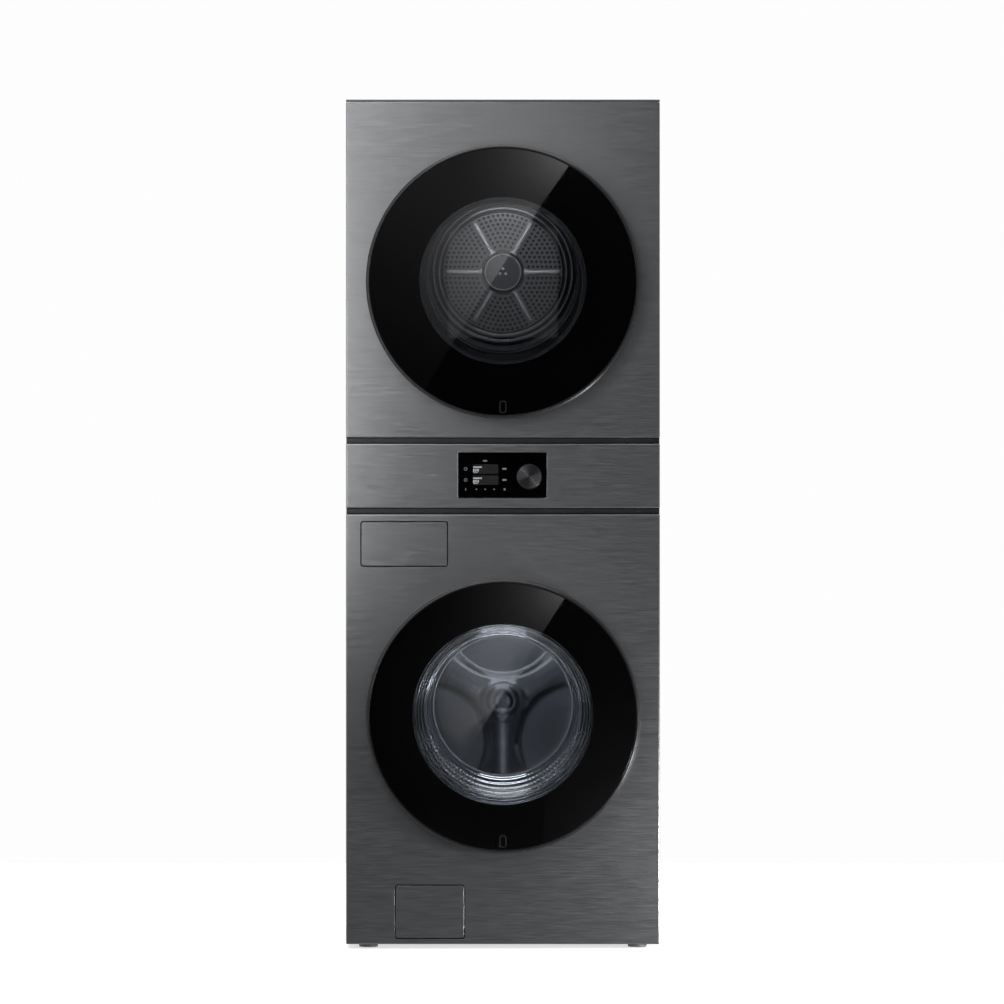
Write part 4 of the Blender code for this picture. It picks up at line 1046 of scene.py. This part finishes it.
def dryer_rear():
    """The dryer's rear sheet and cover, vent grille, exhaust, power inlet and rating plate."""
    low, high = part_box("dryer_rear_panel")
    grille_low, grille_high = (0.120, 1.048), (0.300, 1.166)
    holes = [circle(*EXHAUST, 0.053, 96), rounded_rect(grille_low, grille_high, 0.008)]
    vents = [rounded_rect((0.130, z), (0.290, z + 0.006), 0.0029, 4)
             for z in span(1.060, 1.148, 7)]
    rings = [(0.0, REAR - 0.0040), (0.0, REAR - 0.0052)]
    plate("rear_grille", rounded_rect((grille_low[0] - 0.006, grille_low[1] - 0.006),
                                      (grille_high[0] + 0.006, grille_high[1] + 0.006), 0.010),
          rings, GREY, "cabinet", vents, rings)
    fields = [((-0.318, 1.250), (-0.268, 1.780)), ((0.268, 1.330), (0.318, 1.780))]
    rear_panel("dryer_rear_skin", "dryer_rear_panel", holes, fields)
    bars = [(sign * 0.165 - 0.062, z - 0.008, sign * 0.165 + 0.062, z + 0.008)
            for sign in (-1, 1) for z in span(1.320, 1.672, 5) if abs(z - TUMBLE_Z) > 0.02]
    bars += [(-0.070, z - 0.008, 0.070, z + 0.008) for z in (1.300, 1.692)]
    cover("dryer_service_cover", (-0.245, 1.245), (0.245, 1.795), bars)
    for radius in (0.052, 0.086):
        bulge = [(radius - 0.009, REAR + 0.0010), (radius - 0.007, REAR + 0.0045),
                 (radius - 0.003, REAR + 0.0062), (radius + 0.003, REAR + 0.0062),
                 (radius + 0.007, REAR + 0.0045), (radius + 0.009, REAR + 0.0010)]
        lathe("dryer_cover_ring_%d" % (radius * 1000), bulge, (0.0, TUMBLE_Z), ZINC, "cabinet", 96,
              slot="zinc_sheet")
    block("terminal_cover", (0.150, REAR - 0.0005, 1.178), (0.290, REAR + 0.0120, 1.228), 0.0035,
          GREY, "cabinet")
    grommet = [(0.0005, REAR + 0.0110), (0.0130, REAR + 0.0110), (0.0130, REAR + 0.0145),
               (0.0115, REAR + 0.0165), (0.0075, REAR + 0.0165), (0.0065, REAR + 0.0140),
               (0.0005, REAR + 0.0138)]
    lathe("cord_grommet", grommet, (0.185, 1.203), STRIP_BLACK, "cabinet", 40, wraps=False)
    slab("rating_plate", rounded_rect((-0.290, 1.070), (-0.180, 1.150), 0.003), REAR + 0.0003,
         REAR - 0.0001, 0.0001, LABEL, "cabinet")
    for line, width in enumerate((0.060, 0.086, 0.074, 0.086, 0.050)):
        z = 1.136 - 0.013 * line
        bar = rounded_rect((-0.280, z - 0.0018), (-0.280 + width, z + 0.0018), 0.0006, 3)
        slab("rating_line_%d" % line, bar, REAR + 0.0005, REAR + 0.0001, 0.0001, STRIP_BLACK,
             "cabinet")
    sides = (low.x + SCREW_INSET, high.x - SCREW_INSET)
    screws("dryer_rear_screws", grid(sides, span(1.050, 1.835, 5))
           + grid((-0.228, 0.228), span(1.264, 1.776, 4)) + grid((-0.075, 0.075), (1.264, 1.776))
           + [(0.270, 1.203), (0.215, 1.203), (-0.125, 1.045), (0.005, 1.045), (-0.125, 1.163),
              (0.005, 1.163)])
    bead = [(0.0495, 0.4040), (0.0502, 0.4042), (0.0512, 0.4050), (0.0515, 0.4062),
            (0.0512, 0.4074), (0.0502, 0.4082), (0.0495, 0.4084)]
    lathe("exhaust_bead", bead, EXHAUST, ZINC, "cabinet", 96)


def feet():
    """Levelling feet: rubber pad, lock nut and threaded stem."""
    for node in ("foot_front_left", "foot_front_right", "foot_rear_left", "foot_rear_right"):
        low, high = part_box(node)
        centre = ((low.x + high.x) / 2, (low.y + high.y) / 2)
        pad = [(0.0175, 0.0), (0.0205, 0.0010), (0.0210, 0.0030), (0.0208, 0.0062),
               (0.0190, 0.0085), (0.0120, 0.0098), (0.0075, 0.0104)]
        thread = teeth(0.0105, 0.0032, 7, ((0.0050, 0.0), (0.0058, 0.0014), (0.0050, 0.0028)))
        stem = [(0.0050, 0.0095)] + thread + [(0.0050, high.z)]
        nut = [(0.0098, 0.0112), (0.0108, 0.0120), (0.0108, 0.0168), (0.0098, 0.0176)]
        for part, profile, sides, material in (("pad", pad, 48, RUBBER),
                                               ("stem", stem, 24, STAINLESS),
                                               ("nut", nut, 6, STAINLESS)):
            rows = [[(u, v, z) for u, v in circle(*centre, radius, sides)(0.0)]
                    for radius, z in profile]
            ties = {"replaces": (node,), "slot": "rubber_grey"} if part == "pad" else {}
            sweep("%s_%s" % (node, part), rows, material, "cabinet", **ties)


# ---------------------------------------------------------------- carried over nodes

def carry_over():
    """Give each CAD node that stays visible its own finish."""
    looks = {
        ZINC: ("washer_base_pan", "mid_deck", "blower_housing", "dryer_motor", "motor_rotor"),
        STAINLESS: ("washer_hinge_bracket", "dryer_hinge_bracket", "washer_door_hook",
                    "tub_spring_left", "tub_spring_right"),
        SLATE: ("lint_filter",),
        GREY: ("washer_tub", "drain_filter_cap", "drain_pump",
               "water_inlet_valve", "dispenser_housing", "fan_and_pulley_shaft",
               "tub_damper_left", "tub_damper_right"),
        WHITE: ("drawer_tray",),
        CAST: ("tub_counterweight",),
        COPPER: ("motor_stator",),
        BOARD: ("control_board",),
        BELT: ("drive_belt",),
    }
    for material, names in looks.items():
        for name in names:
            mesh = NODES[name].data
            mesh.materials.clear()
            mesh.materials.append(material)


# ---------------------------------------------------------------- stage

def flat(name, corners, material):
    """One face that belongs to the stage."""
    bm = bmesh.new()
    bm.faces.new([bm.verts.new(corner) for corner in corners])
    mesh = bpy.data.meshes.new(name)
    bm.to_mesh(mesh)
    bm.free()
    mesh.materials.append(material)
    obj = bpy.data.objects.new(name, mesh)
    bpy.context.scene.collection.objects.link(obj)
    return obj


def card(name, outline, depth, spots):
    """A card seen only in reflections; each spot is (x, z, strength, falloff) of its light."""
    material = bpy.data.materials.new(name)
    material.use_nodes = True
    tree = material.node_tree
    tree.nodes.clear()
    place = add_node(tree, "TexCoord").outputs["Object"]

    def calculate(operation, *values):
        node = add_node(tree, "Math", enumerate(values), operation=operation)
        return node.outputs["Value"]
    total = 0.0
    for x, z, strength, falloff in spots:
        away = add_node(tree, "VectorMath", {0: place, 1: (x, depth, z)}, operation='DISTANCE')
        power = calculate('EXPONENT', calculate('MULTIPLY', away.outputs["Value"], -1.0 / falloff))
        total = calculate('MULTIPLY_ADD', power, strength, total)
    light = add_node(tree, "Emission", {"Strength": total})
    add_node(tree, "OutputMaterial", {"Surface": light.outputs["Emission"]})
    obj = flat(name, [(x, depth, z) for x, z in outline], material)
    obj.visible_camera = False
    obj.visible_diffuse = False
    obj.visible_shadow = False


def cards():
    """The soft diagonal reflections on the two door glasses."""
    depth = WASHER_DOOR.y - 1.2
    card("card_dryer", [(0.2113, 1.8600), (0.1647, 1.7903), (-0.2600, 1.1280), (-0.50, 1.1280),
                        (-0.50, 1.8600)], depth,
         [(0.165, 1.825, 3.2, 0.086), (-0.27, 1.80, 0.27, 0.24), (0.0, 1.535, 0.42, 0.08)])
    card("card_washer", [(0.2060, 0.8500), (0.1449, 0.7534), (-0.1584, 0.2717), (-0.2400, 0.1420),
                         (-0.50, 0.1420), (-0.50, 0.8500)], depth,
         [(0.152, 0.785, 1.9, 0.072), (0.0, 0.494, 0.72, 0.060)])
    card("card_low", [(0.45, 0.10), (0.45, 0.60), (0.10, 0.60), (0.10, 0.10)], depth,
         [(0.32, 0.15, 0.32, 0.12)])


def area_light(name, place, target, size, power):
    data = bpy.data.lights.new(name, 'AREA')
    data.shape = 'RECTANGLE'
    data.size, data.size_y = size
    data.energy = power
    obj = bpy.data.objects.new(name, data)
    obj.location = place
    obj.rotation_euler = (Vector(target) - Vector(place)).to_track_quat('-Z', 'Y').to_euler()
    obj.visible_camera = False
    bpy.context.scene.collection.objects.link(obj)
    return obj


def spare(light, *names):
    """Keep a light off the named pieces, so that they don't mirror it."""
    spared = bpy.data.collections.new(light.name + "_spared")
    for name in names:
        spared.objects.link(bpy.data.objects[name])
    for member in spared.collection_objects:
        member.light_linking.link_state = 'EXCLUDE'
    light.light_linking.receiver_collection = spared


def world():
    """White to the eye; for reflections and fill, a grey studio that is dark in front."""
    studio = bpy.data.worlds.new("studio")
    bpy.context.scene.world = studio
    studio.use_nodes = True
    tree = studio.node_tree
    tree.nodes.clear()
    place = add_node(tree, "TexCoord").outputs["Generated"]
    split = add_node(tree, "SeparateXYZ", {"Vector": place})
    depth = add_node(tree, "MapRange", {"From Min": -1.0, "From Max": 1.0,
                                        "Value": split.outputs["Y"]})
    ramp = add_node(tree, "ValToRGB", {"Fac": depth.outputs["Result"]})
    stops = ((0.0015, 0.0), (0.0060, 0.20), (0.1000, 0.26), (0.4500, 0.62))
    elements = ramp.color_ramp.elements
    while len(elements) < len(stops):
        elements.new(0.5)
    for element, (position, value) in zip(elements, stops):
        element.position = position
        element.color = (value, value * 1.01, value * 1.03, 1.0)
    fill = add_node(tree, "Background", {"Color": ramp.outputs["Color"]})
    seen = add_node(tree, "Background", {"Color": (0.985, 0.985, 0.985, 1.0)})
    path = add_node(tree, "LightPath")
    mix = add_node(tree, "MixShader", {"Fac": path.outputs["Is Camera Ray"],
                                       1: fill.outputs["Background"],
                                       2: seen.outputs["Background"]})
    add_node(tree, "OutputWorld", {"Surface": mix.outputs["Shader"]})


def stage():
    """A plain pale floor."""
    wide, near, far = 3.4, -3.0, 3.4
    look = Look("floor_paper", (0.93, 0.93, 0.93), 0.9, Emission_Color=(1.0, 1.0, 1.0, 1.0),
                Emission_Strength=0.50)
    look.vary_colour(look.noise(3.0), 0.01)
    corners = [(x, y, 0.0) for x, y in ((-wide, near), (wide, near), (wide, far), (-wide, far))]
    flat("floor", corners, look.material).visible_glossy = False


def camera():
    """Level, square to the front and far off, so the sides stay hidden."""
    data = bpy.data.cameras.new("camera")
    distance, picture = 16.0, 2.194
    data.sensor_width = 36.0
    data.lens = data.sensor_width * distance / picture
    data.clip_end = 100.0
    obj = bpy.data.objects.new("camera", data)
    obj.location = (-0.002, FRONT - distance, 0.9765)
    obj.rotation_euler = (math.radians(90), 0.0, 0.0)
    bpy.context.scene.collection.objects.link(obj)
    bpy.context.scene.camera = obj


def lights():
    """Keys from the left, a kicker low on the right, fill, and small lamps inside the drums."""
    keys = (("key_high", (-0.75, -1.80, 2.50), (-0.30, FRONT, 1.40), (1.0, 1.0), 14.8),
            ("key_side", (-0.75, -1.30, 1.30), (-0.30, FRONT, 1.30), (0.6, 1.0), 7.6))
    for key in keys:
        spare(area_light(*key), "washer_glass", "dryer_glass", "dryer_inner_pane", "washer_bowl",
              "washer_bowl_back", "display_pane")
    behind_glass = -0.4085
    for lamp in (
            ("kicker", (1.00, -0.86, 0.13), (0.40, FRONT, -0.03), (0.4, 0.24), 22.0),
            ("top", (0.0, 0.2, 3.6), (0.0, 0.0, 1.0), (2.6, 2.6), 45.0),
            ("back", (0.6, 3.0, 2.4), (0.0, 0.4, 0.9), (2.4, 1.8), 40.0),
            ("drum_lamp", (0.0, -0.260, TUB_Z + 0.16), (0.0, 0.14, TUB_Z + 0.05),
             (0.20, 0.08), 0.018),
            ("lobe_lamp", (0.0, -0.010, TUB_Z + 0.185), (0.0, 0.13, TUB_Z + 0.10),
             (0.12, 0.03), 0.036),
            ("arm_lamp", (0.0, -0.270, TUB_Z - 0.110), (0.0, 0.12, TUB_Z - 0.110),
             (0.04, 0.13), 0.034),
            ("bowl_lamp_high", (0.0, behind_glass, 0.693), (0.0, 0.0, 0.693), (0.10, 0.02), 0.008),
            ("bowl_lamp_low", (0.0, behind_glass, 0.352), (0.0, 0.0, 0.352), (0.16, 0.04), 0.016),
            ("glint_high", (0.0, 0.060, TUB_Z + 0.215), (0.0, -0.40, 0.36), (0.14, 0.04), 0.09),
            ("glint_low", (0.0, 0.060, TUB_Z - 0.215), (0.0, -0.40, 0.66), (0.14, 0.03), 0.06),
            ("tumble_lamp", (0.0, -0.290, TUMBLE_Z + 0.10), (0.0, 0.20, TUMBLE_Z + 0.03),
             (0.22, 0.10), 0.050),
            ("screen_lamp", (0.0, 0.020, TUMBLE_Z + 0.175), (0.0, 0.19, TUMBLE_Z + 0.06),
             (0.16, 0.03), 0.105),
            ("liner_lamp", (0.0, behind_glass, DRYER_DOOR.z), (0.0, 0.0, DRYER_DOOR.z),
             (0.24, 0.24), 0.03)):
        area_light(*lamp)


bpy.context.scene.view_settings.view_transform = 'Standard'
front_panels()
filter_recess()
doors()
control_display()
dial()
drum_back()
washer_drum()
tumble_back()
bulkhead()
tumble_shell()
hot_air_duct()
side_panels()
top()
washer_rear()
dryer_rear()
feet()
carry_over()
world()
stage()
camera()
lights()
cards()
